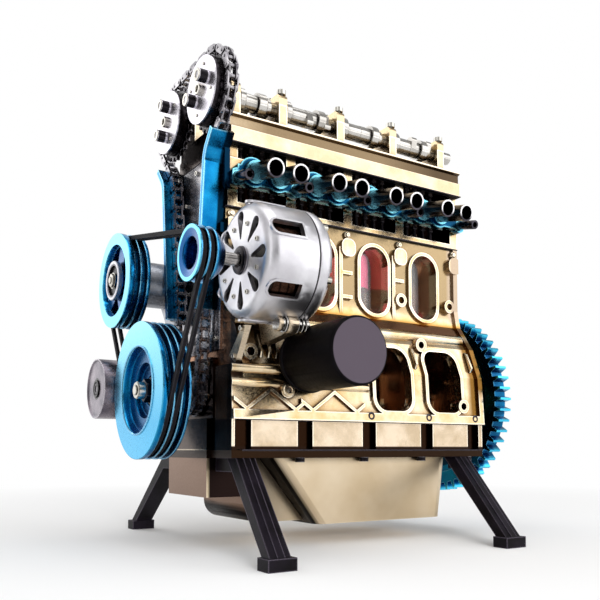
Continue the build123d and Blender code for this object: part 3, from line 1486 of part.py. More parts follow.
def make_conrod(x, wrist_z, pin_z):
    """Connecting rod with fluted beam, big end cap, bolts and crank pin."""
    width, thick = rod_beam_width / 2, rod_beam_thick / 2
    body = bar_x(x - small_end_width / 2, x + small_end_width / 2, 0, wrist_z, small_end_r)
    body += bar_x(x - big_end_width / 2, x + big_end_width / 2, 0, pin_z, big_end_r)
    beam = outline([(-width, wrist_z), (width, wrist_z), (width + over, pin_z), (-width - over, pin_z)])
    body += along_x(beam, x - thick, x + thick)
    flute_foot, flute_top = pin_z + big_end_r + over, wrist_z - small_end_r - over
    for side in (-1, 1):
        x0, x1 = x + side * (thick - rod_flute_depth), x + side * (thick + over)
        body -= slab(sorted((x0, x1)), (-rod_flute_width / 2, rod_flute_width / 2),
                     (flute_foot, flute_top))
    body -= bar_x(x - big_end_width, x + big_end_width, 0, wrist_z, wrist_pin_r + run_clear)
    body -= bar_x(x - big_end_width, x + big_end_width, 0, pin_z, crank_pin_r)
    bolts = []
    for side in (-1, 1):
        y = side * rod_bolt_offset
        bolts.append(bar_z(pin_z - rod_bolt_offset, pin_z + rod_bolt_offset / 2, x, y, rod_bolt_r))
    body -= bolts
    half = web_gap / 2 - pin_end_gap
    pin = bar_x(x - half, x + half, 0, pin_z, crank_pin_r)
    return group([body, pin, *bolts])


def make_head_screws():
    """Screws of the cam caps."""
    return group([screw(*place, cap_screw_length()) for place in cam_cap_screws])


def make_pan_screws():
    """Screws that hold the pan flange to the rail."""
    return group([screw(*place, rail_screw_length()) for place in rail_screws])


nodes = {
    "oil_pan": make_pan(),
    "crankcase_rail": make_rail(),
    "cylinder_block": make_block(),
    "bearing_caps": make_bearing_caps(),
    "cylinder_liners": make_liners(),
    "cylinder_head": make_head(),
    "spark_plugs": make_spark_plugs(),
    "cam_carrier": make_carrier(),
    "cam_caps": make_cam_caps(),
    "cap_screws": make_head_screws(),
    "pan_screws": make_pan_screws(),
    "intake_flange": make_port_flange(near),
    "intake_trumpets": make_trumpets(),
    "exhaust_flange": make_port_flange(far),
    "exhaust_stubs": make_stubs(),
    "front_plate": make_front_plate(),
    "chain_guide_near": make_guide(near),
    "chain_guide_far": make_guide(far),
    "timing_chain": make_chain(),
    "drive_belts": make_belts(),
    "alternator_front": make_alt_shell(True),
    "alternator_rear": make_alt_shell(False),
    "alternator_stator": make_stator(),
    "alternator_bracket": make_alt_bracket(),
    "oil_filter": make_filter(),
    "pump_housing": make_pump_housing(),
    "idler_arm": make_idler_arm(),
    "stand_legs": make_legs(),
    "drive_motor": make_motor(),
    "crankshaft": make_crankshaft(),
    "crank_sprocket": make_crank_wheel(),
    "crank_pulley": make_crank_pulley(),
    "flywheel_gear": make_gear(),
    "intake_camshaft": make_camshaft(near),
    "exhaust_camshaft": make_camshaft(far),
    "intake_sprocket": make_cam_wheel(near),
    "exhaust_sprocket": make_cam_wheel(far),
    "alternator_pulley": make_alt_pulley(),
    "alternator_rotor": make_rotor(),
    "pump_pulley": make_pump_pulley(),
    "idler_pulley": make_idler(),
    "motor_pinion": make_pinion(),
}
for i, x in enumerate(cylinder_xs):
    nodes[f"piston_{i + 1}"] = make_piston(x, wrist_zs[i])
    nodes[f"conrod_{i + 1}"] = make_conrod(x, wrist_zs[i], crank_pin_zs[i])
    nodes[f"intake_valves_{i + 1}"] = make_valves(x, near)
    nodes[f"exhaust_valves_{i + 1}"] = make_valves(x, far)
spring = make_spring()
print("least gap between spring turns", round(least_spring_gap(), 2))
nodes["intake_springs"] = make_springs(near, spring)
nodes["exhaust_springs"] = make_springs(far, spring)

os.makedirs("parts", exist_ok=True)
for name, shape in nodes.items():
    export_step(shape, f"parts/{name}.step")
print(len(nodes), "nodes")
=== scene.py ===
import json
from math import cos, pi, radians, sin, tan

import bmesh
import bpy
from bpy.props import FloatProperty, FloatVectorProperty, IntProperty, PointerProperty
from mathutils import Matrix, Vector


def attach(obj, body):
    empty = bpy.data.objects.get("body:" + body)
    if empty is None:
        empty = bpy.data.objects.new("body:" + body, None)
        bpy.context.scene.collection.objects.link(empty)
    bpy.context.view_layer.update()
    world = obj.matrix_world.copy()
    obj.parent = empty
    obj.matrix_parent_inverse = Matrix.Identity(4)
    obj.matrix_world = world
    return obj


bl_info = {
    "name": "Twin cam desk engine",
    "version": (1, 0, 0),
    "blender": (4, 5, 0),
    "location": "View3D > Sidebar > Engine",
    "description": "Finishes, fittings and a plain studio for a desk model of a twin cam engine",
    "category": "Object",
}

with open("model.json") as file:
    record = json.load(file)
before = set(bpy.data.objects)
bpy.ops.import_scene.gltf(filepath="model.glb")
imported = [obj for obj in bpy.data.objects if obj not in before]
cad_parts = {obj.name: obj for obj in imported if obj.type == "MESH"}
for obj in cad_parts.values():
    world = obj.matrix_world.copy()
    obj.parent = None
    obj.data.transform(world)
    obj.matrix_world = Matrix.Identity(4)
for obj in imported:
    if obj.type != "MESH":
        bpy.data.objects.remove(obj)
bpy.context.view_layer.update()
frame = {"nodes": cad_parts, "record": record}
nodes = frame["nodes"]

MM = 0.001
UP = Vector((0, 0, 1))
AXIS_X = Vector((1, 0, 0))
SMOOTH_ANGLE = radians(35)

# Places on the engine, in millimetres
CRANK = (0, 54.0)                 # y, z of the crank axis
CAM_Y, CAM_Z = 15.3, 158.0
CYLINDER_XS = (-32.5, -7.0, 18.5, 44.0)
CAP_XS = (-43.0, -23.9, 1.6, 27.1, 52.6)
COLUMN_XS = (-43.5, -19.75, 5.75, 31.25, 60.5)
BLOCK_XS = (-45.5, 62.5)          # front and rear faces of the block
ALTERNATOR = (-40.0, 93.0)        # y, z of its axis
PUMP = (26.0, 97.0)
IDLER = (36.0, 56.8)
NEAR, FAR = -1, 1

# Bore of a ring that reads as a full disc, and the broken edge of small pieces
CLOSED = 0.0001
FINE_BREAK = 0.1


def linear(code):
    """Linear colour of an sRGB hex code."""
    parts = [int(code[i:i + 2], 16) / 255 for i in (1, 3, 5)]
    return tuple(c / 12.92 if c <= 0.04045 else ((c + 0.055) / 1.055) ** 2.4 for c in parts) + (1.0,)


def add_node(tree, kind, sockets=None, **settings):
    """Add a node, set its properties and give its sockets values or links."""
    node = tree.nodes.new(kind)
    for name, value in settings.items():
        setattr(node, name, value)
    for name, value in (sockets or {}).items():
        socket = node.inputs[name]
        if isinstance(value, bpy.types.NodeSocket):
            tree.links.new(value, socket)
        else:
            socket.default_value = value
    return node


def calculated(tree, operation, first, second):
    """The outcome of a mathematical operation on two values."""
    return add_node(tree, "ShaderNodeMath", {0: first, 1: second}, operation=operation).outputs[0]


def ranged(tree, value, start, full, low=0.0, high=1.0, smooth=False):
    """A value carried from the range of start and full to that of low and high, held at its ends."""
    limits = {"Value": value, "From Min": start, "From Max": full, "To Min": low, "To Max": high}
    return add_node(tree, "ShaderNodeMapRange", limits,
                    interpolation_type="SMOOTHSTEP" if smooth else "LINEAR").outputs[0]


def mixed(tree, share, first, second):
    """The first colour where the share is nought and the second where it is one."""
    return add_node(tree, "ShaderNodeMix", {0: share, 6: first, 7: second},
                    data_type="RGBA").outputs[2]


def bare_tree(owner):
    """The emptied node tree of a material or a world."""
    owner.use_nodes = True
    owner.node_tree.nodes.clear()
    return owner.node_tree


def colour_of(tone):
    """Linear colour of a tone: an sRGB hex code, or a colour from the panel."""
    return linear(tone) if isinstance(tone, str) else tone


def per(size):
    """Texture scale of a pattern whose cells are so many millimetres wide."""
    return 1 / (size * MM)


class EngineFinishes(bpy.types.PropertyGroup):
    gold: FloatVectorProperty(
        name="Gold plate", description="Colour of the plated castings", subtype="COLOR", size=4,
        min=0, max=1, default=linear("#E8D3AF"))
    blue: FloatVectorProperty(
        name="Anodised blue", description="Colour of the dyed aluminium", subtype="COLOR", size=4,
        min=0, max=1, default=linear("#1C93CC"))
    magenta: FloatVectorProperty(
        name="Pistons", description="Colour of the anodised pistons", subtype="COLOR", size=4,
        min=0, max=1, default=linear("#EE4C86"))
    black: FloatVectorProperty(
        name="Black", description="Colour of the legs", subtype="COLOR", size=4,
        min=0, max=1, default=linear("#0B090B"))
    # How far the painted shade reaches out of the corners
    crevice_shade_reach: FloatProperty(
        name="Crevice reach", description="How far dirt and shade reach out of the corners",
        unit="LENGTH", min=0, default=3.0 * MM)


class EngineFittings(bpy.types.PropertyGroup):
    edge_break: FloatProperty(
        name="Edge break", description="Width of the broken edges of the castings",
        unit="LENGTH", min=0, default=0.18 * MM)
    round_steps: IntProperty(
        name="Steps of a turn", description="Faces round a turned fitting", min=12, default=40)


class EngineStudio(bpy.types.PropertyGroup):
    key: FloatProperty(name="Key light", description="Power of the large light on the right",
                       min=0, default=4.9)
    left: FloatProperty(name="Left light", description="Power of the light behind on the left",
                        min=0, default=3.2)
    top: FloatProperty(name="Top light", description="Power of the light overhead", min=0,
                       default=3.2)
    fill: FloatProperty(name="Fill light", description="Power of the narrow light in front",
                        min=0, default=1.0)
    hollows: FloatProperty(name="Hollows", description="Power of the lamp that reaches into "
                           "the windows", min=0, default=9.0)
    sky: FloatProperty(name="Sky", description="Level of the light from all round", min=0,
                       default=0.45)
    backdrop: FloatVectorProperty(
        name="Backdrop", description="Colour behind the engine", subtype="COLOR", size=4,
        min=0, max=1, default=linear("#FFFFFF"))


def new_material(name):
    """An empty material with its output, shader and object coordinates."""
    material = bpy.data.materials.new(name)
    tree = bare_tree(material)
    shader = add_node(tree, "ShaderNodeBsdfPrincipled")
    add_node(tree, "ShaderNodeOutputMaterial", {"Surface": shader.outputs["BSDF"]})
    place = add_node(tree, "ShaderNodeTexCoord").outputs["Object"]
    return material, tree, shader, place


def surface_with_painted_light(name, light, dark, rough, grain, depth, metallic=1.0, tone_cell=9.0, crevice_shade=None,
                 reach=3.0 * MM, stretch=(1, 1, 1), rim=None, rim_reach=0.6 * MM, deep=None,
                 deep_reach=10 * MM):
    """A surface whose tone, gloss and grain vary, with painted shade gathered in its corners.

    light and dark are its two tones, rough its lowest and highest roughness, grain the width
    of its grain and depth the height of it, both in millimetres. stretch draws the grain out.
    rim is the tone of a painted highlight on its edges, deep that of painted shade under other parts.
    """
    material, tree, shader, place = new_material(name)
    tone = add_node(tree, "ShaderNodeTexNoise", {"Vector": place, "Scale": per(tone_cell),
                                                 "Detail": 3.0, "Roughness": 0.55})
    drawn = add_node(tree, "ShaderNodeMapping", {"Vector": place, "Scale": stretch})
    fine = add_node(tree, "ShaderNodeTexNoise", {"Vector": drawn.outputs["Vector"],
                                                 "Scale": per(grain), "Detail": 2.0})
    share = ranged(tree, tone.outputs["Fac"], 0.35, 0.65)
    result = mixed(tree, share, colour_of(light), colour_of(dark))
    # Painted light: a highlight on convex edges, shade in corners and shade under other parts
    painted_light_layers = [(rim, rim_reach, True, (0.93, 0.6)), (crevice_shade, reach, False, (0.95, 0.3)),
              (deep, deep_reach, False, (0.75, 0.15))]
    for shade, distance, inside, (start, full) in painted_light_layers:
        if shade:
            corner = add_node(tree, "ShaderNodeAmbientOcclusion", {"Distance": distance}, samples=5,
                              inside=inside, only_local=distance < deep_reach)
            amount = ranged(tree, corner.outputs["AO"], start, full)
            result = mixed(tree, amount, result, colour_of(shade))
    gloss = ranged(tree, fine.outputs["Fac"], 0.3, 0.7, *rough)
    bump = add_node(tree, "ShaderNodeBump", {"Height": fine.outputs["Fac"], "Distance": depth * MM,
                                             "Strength": 1.0})
    shader.inputs["Metallic"].default_value = metallic
    tree.links.new(result, shader.inputs["Base Color"])
    tree.links.new(gloss, shader.inputs["Roughness"])
    tree.links.new(bump.outputs["Normal"], shader.inputs["Normal"])
    return material, tree, shader, place


def zone(tree, place, limits, centre=(0, 0)):
    """Share of a surface: one inside every limit and nought outside.

    A limit is an axis and the places, in millimetres, where its share starts and is full.
    A is the distance from the middle plane, R the distance from centre (y, z).
    """
    split = add_node(tree, "ShaderNodeSeparateXYZ", {"Vector": place})
    share = 1.0
    for axis, start, full in limits:
        if axis == "A":
            value = add_node(tree, "ShaderNodeMath", {0: split.outputs["Y"]},
                             operation="ABSOLUTE").outputs[0]
        elif axis == "R":
            flat = add_node(tree, "ShaderNodeCombineXYZ", {"Y": split.outputs["Y"],
                                                           "Z": split.outputs["Z"]})
            middle = (0, centre[0] * MM, centre[1] * MM)
            value = add_node(tree, "ShaderNodeVectorMath", {0: flat.outputs[0], 1: middle},
                             operation="DISTANCE").outputs["Value"]
        else:
            value = split.outputs[axis]
        share = calculated(tree, "MULTIPLY", ranged(tree, value, start * MM, full * MM), share)
    return share


def facing(tree, way, start, full):
    """Share of a surface that faces a way, between two cosines."""
    normal = add_node(tree, "ShaderNodeTexCoord").outputs["Normal"]
    cosine = add_node(tree, "ShaderNodeVectorMath", {0: normal, 1: way}, operation="DOT_PRODUCT")
    return ranged(tree, cosine.outputs["Value"], start, full)


def tinted(tree, shader, share, tone):
    """Lay a tone, an sRGB hex code, over a surface's own colour where the share is one."""
    own = shader.inputs["Base Color"].links[0].from_socket
    tree.links.new(mixed(tree, share, own, linear(tone)), shader.inputs["Base Color"])


def shaded(surface, limits, tone, centre=(0, 0)):
    """Lay a tone over the part of a surface inside the limits of a zone."""
    _, tree, shader, place = surface
    tinted(tree, shader, zone(tree, place, limits, centre), tone)


def plated(name, light, dark, rough=(0.15, 0.26), crevice_shade="#7A4A1E"):
    """Champagne plate over cast aluminium: mirror-like, with brown painted shade in corners and
    hollows.

    Its edges get pale painted highlights; the front of every casting is dark brown behind the chain.
    """
    surface = surface_with_painted_light(
        name, light, dark, rough=rough, grain=0.9, depth=0.012, crevice_shade=crevice_shade, rim="#FFF4DF",
        deep="#241007")
    behind_chain = (("X", -45.2, -45.4), ("Z", 33.0, 34.0), ("A", 31.8, 31.4))
    shaded(surface, behind_chain, "#33231A")
    return surface


def make_castings(finishes):
    """The plated castings, each with painted shade in its own hollows."""
    made = {}
    made["gold_casting"] = plated("champagne_plate", finishes.gold, "#D8BD93")[0]

    # The block: pale sides; its rear face keeps its own colour
    surface = plated("champagne_plate_block", "#EDDDC0", "#D4B480", crevice_shade="#84542A")
    off_rear = ("X", BLOCK_XS[1] - 0.1, BLOCK_XS[1] - 0.3)
    between_barrels = (("Z", 84.0, 90.0), ("A", 19.4, 18.9), off_rear)
    web_band = (("Z", 79.6, 80.4), ("Z", 87.0, 84.0))
    rear_edge = (("X", 55.0, 57.5), ("Z", 79.0, 77.0), ("A", 32.9, 32.5))
    rear_corner = (("X", 57.0, 58.5), ("Z", 85.0, 87.0))
    inside_crankcase = (("A", 28.9, 28.4), ("Z", 64.0, 62.0), off_rear)
    inside_waist = (("A", 23.3, 22.6), ("Z", 85.0, 83.0), off_rear)
    inside_barrels = (("A", 15.2, 14.8), ("Z", 117.2, 117.0), off_rear)
    # Painted shade: taupe between the barrels, deep gold on the webs, darker at the rear, brown inside
    # the windows
    for limits, tone in ((between_barrels, "#A58F6C"), (web_band, "#C2923C"),
                         (rear_edge, "#7E5A26"), (rear_corner, "#B4A08A"),
                         (inside_crankcase, "#8E6446"), (inside_waist, "#8E6446"),
                         (inside_barrels, "#8E6446")):
        shaded(surface, limits, tone)
    made["block_gold"] = surface[0]

    # The head: painted shade, near black, between its columns
    surface = plated("champagne_plate_head", finishes.gold, "#D0B080")
    between_columns = (("A", 19.3, 18.9), ("Z", 119.0, 119.4), off_rear)
    shaded(surface, between_columns, "#26140B")
    made["head_gold"] = surface[0]

    # The cam carrier: pale, with painted shade in a cove along its side, darker towards the rear
    surface = plated("champagne_plate_carrier", "#DCC9AC", "#C8B290")
    cove = (("A", 20.3, 20.5), ("Z", 145.0, 145.3), ("Z", 149.7, 149.4))
    cove_fade = 30.0
    for start, tone in ((-60.0, "#7A6850"), (20.0, "#4E4030")):
        shaded(surface, (*cove, ("X", start, start + cove_fade)), tone)
    made["carrier_gold"] = surface[0]

    # The cam caps: pale posts under slightly browner clamps
    surface = plated("champagne_plate_caps", "#EFDDBE", "#D8C096")
    clamps = (("Z", 157.8, 158.2),)
    shaded(surface, clamps, "#D2BC98")
    made["cap_gold"] = surface[0]

    # The rail: painted shade in its slots and on the seam over the pan
    surface = plated("champagne_plate_rail", "#D8C6AE", "#BCA88C")
    slots, seam = (("A", 31.6, 31.2),), (("Z", 35.0, 34.6),)
    shaded(surface, slots, "#24150C")
    shaded(surface, seam, "#241710")
    made["rail_gold"] = surface[0]

    # The pan: pressed sheet, satin plated, with painted shade on the faces that look forwards and down
    surface = surface_with_painted_light(
        "satin_plate_on_pressed_steel", "#E6D4B8", "#D6C09E", rough=(0.3, 0.42), grain=0.6,
        depth=0.014, tone_cell=22.0, crevice_shade="#3A2A1C", rim="#E9D8BC")
    material, tree, shader, place = surface
    tinted(tree, shader, facing(tree, (-1, 0, 0), 0.55, 0.8), "#7A6252")
    tinted(tree, shader, facing(tree, (-0.7, 0, -0.7), 0.7, 0.9), "#0E0706")
    # Painted shade on the near side of the front tub and on the flange
    tub = (("A", 17.0, 16.6), ("X", -50.4, -49.6), ("X", -10.0, -36.0))
    tub_side = calculated(tree, "MULTIPLY", zone(tree, place, tub),
                          facing(tree, (0, -1, 0), 0.5, 0.7))
    tinted(tree, shader, tub_side, "#241A18")
    flange = (("Z", 30.7, 30.9),)
    shaded(surface, flange, "#2C1E14")
    made["pan_satin"] = material
    return made


def make_metals(finishes):
    """The plated, machined, cast and drawn metals of the engine."""
    # Each crevice_shade below is painted shade in the corners
    reach = finishes.crevice_shade_reach
    made = {}

    # Bead blasted cast aluminium: pale and satin, with a fine even grain
    made["silver_alternator"] = surface_with_painted_light(
        "bead_blasted_aluminium", "#DDDCE0", "#C6C4C9", rough=(0.3, 0.42), grain=0.45, depth=0.03,
        crevice_shade="#5A5558", reach=reach)[0]

    # Brushed aluminium, warm in tone
    made["bracket_beige"] = surface_with_painted_light(
        "brushed_warm_aluminium", "#D6C6AE", "#BFAE95", rough=(0.24, 0.36), grain=0.35, depth=0.012,
        crevice_shade="#6E5F4E", reach=reach, stretch=(0.2, 1, 1))[0]

    # Milled aluminium, left bare and a little grey
    made["bracket_silver"] = surface_with_painted_light(
        "milled_grey_aluminium", "#9B9DA3", "#7E8087", rough=(0.26, 0.4), grain=0.4, depth=0.012,
        crevice_shade="#2F2E33", reach=reach)[0]

    # Faced and lightly blasted aluminium discs: pale, soft sheen
    made["wheel_silver"] = surface_with_painted_light(
        "faced_pale_aluminium", "#D4D4DA", "#C0C0C8", rough=(0.3, 0.4), grain=0.5, depth=0.01,
        crevice_shade="#4A484E", reach=reach)[0]

    # Oiled steel plates: bright polished flats, with painted shade near black in the gaps
    made["chain_steel"] = surface_with_painted_light(
        "oiled_roller_chain_steel", "#B9B6B9", "#77747A", rough=(0.18, 0.34), grain=0.6,
        depth=0.008, crevice_shade="#0A090A", reach=0.8 * MM)[0]

    # Blackened steel nuts, bolts and rings, with a painted highlight on their edges
    made["dark_steel"] = surface_with_painted_light(
        "blackened_steel", "#2E2A2D", "#1E1B1E", rough=(0.25, 0.4), grain=0.5, depth=0.01,
        crevice_shade="#080708", rim="#8E8A90", rim_reach=0.3 * MM)[0]

    # Ground and polished steel shafts, the grinding lines run round them
    made["shaft_steel"] = surface_with_painted_light(
        "ground_steel", "#D2CFCA", "#B4B0AA", rough=(0.12, 0.22), grain=0.3, depth=0.006,
        crevice_shade="#35322F", reach=reach, stretch=(3, 1, 1))[0]

    # Bright zinc plated screws
    made["screw_steel"] = surface_with_painted_light(
        "zinc_plated_steel", "#CFCBC2", "#A9A59C", rough=(0.16, 0.28), grain=0.4, depth=0.008,
        crevice_shade="#2B2724", reach=0.7 * MM)[0]

    # Drawn steel can, satin with long draw lines
    made["motor_can"] = surface_with_painted_light(
        "drawn_steel_can", "#B9B8B5", "#9C9B98", rough=(0.26, 0.36), grain=0.3, depth=0.01,
        crevice_shade="#3A3938", reach=reach, stretch=(0.15, 1, 1))[0]

    # Free cutting brass
    made["pinion_brass"] = surface_with_painted_light(
        "cut_brass", "#D8B25A", "#B88F3C", rough=(0.18, 0.3), grain=0.3, depth=0.008,
        crevice_shade="#4E3A14", reach=reach)[0]

    # Dyed pistons, turned: magenta with a satin sheen
    made["piston_magenta"] = surface_with_painted_light(
        "magenta_anodised_aluminium", finishes.magenta, "#D83A74", rough=(0.3, 0.4), grain=0.35,
        depth=0.008, metallic=0.0, crevice_shade="#7A1238", reach=reach, stretch=(1, 1, 3))[0]

    # Bead blasted alloy rods
    made["rod_alloy"] = surface_with_painted_light(
        "blasted_alloy", "#D2CEC8", "#B5B1AB", rough=(0.28, 0.4), grain=0.4, depth=0.015,
        crevice_shade="#4B4743", reach=reach)[0]

    # Ground valve steel
    made["valve_steel"] = surface_with_painted_light(
        "ground_valve_steel", "#C2BEB8", "#A29E98", rough=(0.16, 0.28), grain=0.3, depth=0.006,
        crevice_shade="#3B3835", reach=reach)[0]

    # Drawn spring wire
    made["spring_steel"] = surface_with_painted_light(
        "drawn_spring_wire", "#A9A6A2", "#7F7C78", rough=(0.22, 0.34), grain=0.25, depth=0.004,
        crevice_shade="#262422", reach=0.7 * MM)[0]
    return made


def make_blues(finishes):
    """Dyed anodised aluminium, machined: deep saturated blue, with painted highlights on its edges."""
    made = {}
    # navy is painted shade in the corners, pale a painted highlight on the edges
    deep_blue, navy, pale = "#0B6AA6", "#06304F", "#A6EAFF"
    made["blue_anodised"] = surface_with_painted_light(
        "blue_anodised_aluminium", finishes.blue, deep_blue, rough=(0.17, 0.29), grain=0.5,
        depth=0.006, crevice_shade=navy, rim=pale, rim_reach=0.35 * MM)[0]

    # The guides: painted shade where they run back beside the block
    surface = surface_with_painted_light(
        "blue_anodised_bar", finishes.blue, deep_blue, rough=(0.17, 0.29), grain=0.5, depth=0.006,
        crevice_shade=navy, rim=pale, rim_reach=0.5 * MM)
    beside_block = (("X", -48.6, -48.0),)
    shaded(surface, beside_block, "#062338")
    made["blue_guide"] = surface[0]

    # The port flanges: navy faces, painted shade, between pale painted highlights on the cut edges
    made["blue_flange"] = surface_with_painted_light(
        "blue_anodised_plate", "#0E5680", "#083450", rough=(0.22, 0.32), grain=0.5, depth=0.006,
        crevice_shade="#041826", rim="#8FE6FA", rim_reach=0.7 * MM)[0]

    # The crank pulley: a pale painted reflection on its faced rim, paler higher up
    surface = surface_with_painted_light(
        "blue_anodised_crank_pulley", "#1489C4", deep_blue, rough=(0.2, 0.3), grain=0.5,
        depth=0.006, crevice_shade=navy, rim=pale, rim_reach=0.5 * MM, tone_cell=14.0)
    face, higher_up = ("X", -69.2, -69.5), ("Z", 42.0, 80.0)
    shaded(surface, (face,), "#2C9CC8")
    shaded(surface, (face, higher_up), "#86D0E4")
    # Painted shade: navy on the steps, near black round the middle
    steps, hole = (("R", 14.6, 14.3), ("X", -67.2, -66.9)), (("R", 5.3, 5.1),)
    shaded(surface, steps, "#0A4F7C", CRANK)
    shaded(surface, hole, "#10161C", CRANK)
    made["blue_crank_pulley"] = surface[0]

    # The small pulleys: deep blue painted shade inside a thin pale painted highlight on the rim
    for slot, centre, cup, front in (("blue_alternator_pulley", ALTERNATOR, 7.6, -68.4),
                                     ("blue_pump_pulley", PUMP, 13.0, -69.8)):
        surface = surface_with_painted_light(
            slot + "_anodised", finishes.blue, deep_blue, rough=(0.17, 0.29), grain=0.5,
            depth=0.006, crevice_shade=navy, rim=pale, rim_reach=0.4 * MM)
        shaded(surface, (("X", front + 0.3, front),), "#6FCBE4")
        shaded(surface, (("R", cup, cup - 0.3),), "#0A4E86", centre)
        made[slot] = surface[0]

    # The gear: bright painted highlights on its teeth round a dark painted shade on its web
    surface = surface_with_painted_light(
        "blue_anodised_gear", "#1180B8", "#0B5788", rough=(0.17, 0.28), grain=0.5, depth=0.006,
        crevice_shade=navy, rim="#8FE3FF", rim_reach=0.35 * MM)
    teeth, web = (("R", 36.4, 37.6),), (("R", 27.6, 27.2),)
    shaded(surface, teeth, "#4CCBF0", CRANK)
    shaded(surface, web, "#08324E", CRANK)
    made["blue_gear"] = surface[0]
    return made


def make_wheels():
    """The cam wheels, the idler and the trumpets, dark with pale faces."""
    made = {}
    # Each rim below is a painted highlight on the edges, each crevice_shade painted shade in the
    # corners
    for slot in ("intake_wheel", "exhaust_wheel"):
        surface = surface_with_painted_light(
            slot + "_blackened_steel", "#3A363A", "#231F22", rough=(0.22, 0.36), grain=0.5,
            depth=0.01, crevice_shade="#0A090A", rim="#A8A4AA", rim_reach=0.3 * MM)
        disc, knob_sides = (("X", -53.3, -53.6),), (("X", -54.2, -54.5), ("X", -57.3, -57.1))
        shaded(surface, disc, "#DCD8E0")
        shaded(surface, knob_sides, "#2A272B")
        made[slot] = surface[0]

    # The idler: faced grey aluminium round a black hub
    surface = surface_with_painted_light(
        "faced_grey_aluminium", "#8E858D", "#5A5560", rough=(0.24, 0.36), grain=0.4, depth=0.01,
        crevice_shade="#141216", rim="#D6D0D6", rim_reach=0.4 * MM)
    hub = (("R", 4.2, 4.0),)
    shaded(surface, hub, "#121013", IDLER)
    made["idler_grey"] = surface[0]

    # Black nickel tubes: dark and glossy, with bare bright metal at the open ends
    surface = surface_with_painted_light(
        "black_nickel_tube", "#4A474E", "#2C2A30", rough=(0.14, 0.24), grain=0.4, depth=0.006,
        crevice_shade="#0C0B0E", reach=1.5 * MM)
    open_ends = (("A", 38.6, 38.9),)
    shaded(surface, open_ends, "#E6E4E6")
    made["gunmetal_tube"] = surface[0]
    return made


def make_windings():
    """Enamelled copper turns over dark laminations, one turn each 0.7 mm round the ring."""
    # crevice_shade and deep are painted shade in its corners and under other parts
    material, tree, shader, place = surface_with_painted_light(
        "enamelled_copper_windings", "#5E4030", "#32241E", rough=(0.24, 0.38), grain=0.5,
        depth=0.01, crevice_shade="#140C08", deep="#0C0708")
    turns = add_node(tree, "ShaderNodeTexWave", {"Vector": place, "Scale": per(0.7) / (2 * pi),
                                                 "Distortion": 1.0}, wave_type="BANDS",
                     bands_direction="DIAGONAL")
    tinted(tree, shader, ranged(tree, turns.outputs["Fac"], 0.25, 0.0), "#1E120B")
    return material


def make_paints(finishes):
    """Painted, moulded and rubber surfaces."""
    made = {}

    # Baked black paint on a pressed can, faintly pebbled, with its end face greyer as a painted sheen
    material, tree, shader, _ = surface_with_painted_light(
        "baked_black_paint", "#060506", "#0B090B", rough=(0.4, 0.5), grain=1.2, depth=0.02,
        metallic=0.0)
    shader.inputs["Specular IOR Level"].default_value = 0.03
    tinted(tree, shader, facing(tree, (0, -1, 0), 0.93, 0.98), "#463F47")
    made["filter_black"] = material

    # Black anodised bars, lightly blasted: satin, with pale painted highlights on their arrises
    material, _, shader, _ = surface_with_painted_light(
        "black_anodised_bar", finishes.black, "#17131A", rough=(0.34, 0.46), grain=0.6, depth=0.02,
        metallic=0.0, rim="#4A444E", rim_reach=0.4 * MM)
    shader.inputs["Specular IOR Level"].default_value = 0.07
    made["leg_black"] = material

    # Moulded neoprene: soft black with a fine cloth-like grain, and painted highlights on its edges
    material, _, shader, _ = surface_with_painted_light(
        "moulded_neoprene", "#0C0B0D", "#161518", rough=(0.5, 0.65), grain=0.35, depth=0.03,
        metallic=0.0, rim="#3C383E", rim_reach=0.25 * MM)
    shader.inputs["Specular IOR Level"].default_value = 0.07
    made["belt_rubber"] = material

    # Glazed alumina insulator: white, wet gloss
    material, _, shader, _ = surface_with_painted_light(
        "glazed_alumina", "#F0EDE6", "#E4DFD5", rough=(0.12, 0.2), grain=0.8, depth=0.005,
        metallic=0.0)
    shader.inputs["Coat Weight"].default_value = 0.4
    made["plug_ceramic"] = material
    return made


def make_clear_tube():
    """Turned acrylic tube, left a little milky: clear, with a white haze and fine turning marks."""
    material, tree, shader, place = new_material("turned_acrylic_tube")
    marks = add_node(tree, "ShaderNodeTexNoise", {"Vector": place, "Scale": per(1.5), "Detail": 2.0})
    haze = ranged(tree, marks.outputs["Fac"], 0.35, 0.7, 0.0, 0.06)
    tree.links.new(haze, shader.inputs["Roughness"])
    shader.inputs["Base Color"].default_value = linear("#FAFAFB")
    shader.inputs["IOR"].default_value = 1.49
    shader.inputs["Alpha"].default_value = 0.12
    return material


class ENGINE_OT_finishes(bpy.types.Operator):
    """Make every finish and give it to the parts of the frame"""
    bl_idname = "engine.finishes"
    bl_label = "Finishes"

    # Parts whose finish differs from the rest of their slot
    own = {"cylinder_block": "block_gold", "cylinder_head": "head_gold", "cam_carrier": "carrier_gold",
           "cam_caps": "cap_gold", "crankcase_rail": "rail_gold", "oil_pan": "pan_satin",
           "chain_guide_near": "blue_guide", "chain_guide_far": "blue_guide",
           "intake_flange": "blue_flange", "crank_pulley": "blue_crank_pulley",
           "alternator_pulley": "blue_alternator_pulley", "pump_pulley": "blue_pump_pulley",
           "flywheel_gear": "blue_gear", "intake_sprocket": "intake_wheel",
           "exhaust_sprocket": "exhaust_wheel", "idler_pulley": "idler_grey",
           "pan_screws": "dark_steel"}

    def execute(self, context):
        finishes = context.scene.engine_finishes
        made = make_castings(finishes)
        made.update(make_metals(finishes))
        made.update(make_blues(finishes))
        made.update(make_wheels())
        made.update(make_paints(finishes))
        made["stator_copper"] = make_windings()
        made["clear_liner"] = make_clear_tube()
        for slot, material in made.items():
            material["slot"] = slot
        for part in frame["record"]["subparts"]:
            mesh = nodes[part["node"]].data
            mesh.materials.clear()
            mesh.materials.append(made[self.own.get(part["node"], part["material_slot"])])
        return {"FINISHED"}


def finish_of(slot):
    """The material made for a slot of the record."""
    for material in bpy.data.materials:
        if material.get("slot") == slot:
            return material
    raise RuntimeError(f"no finish has been made for {slot}")


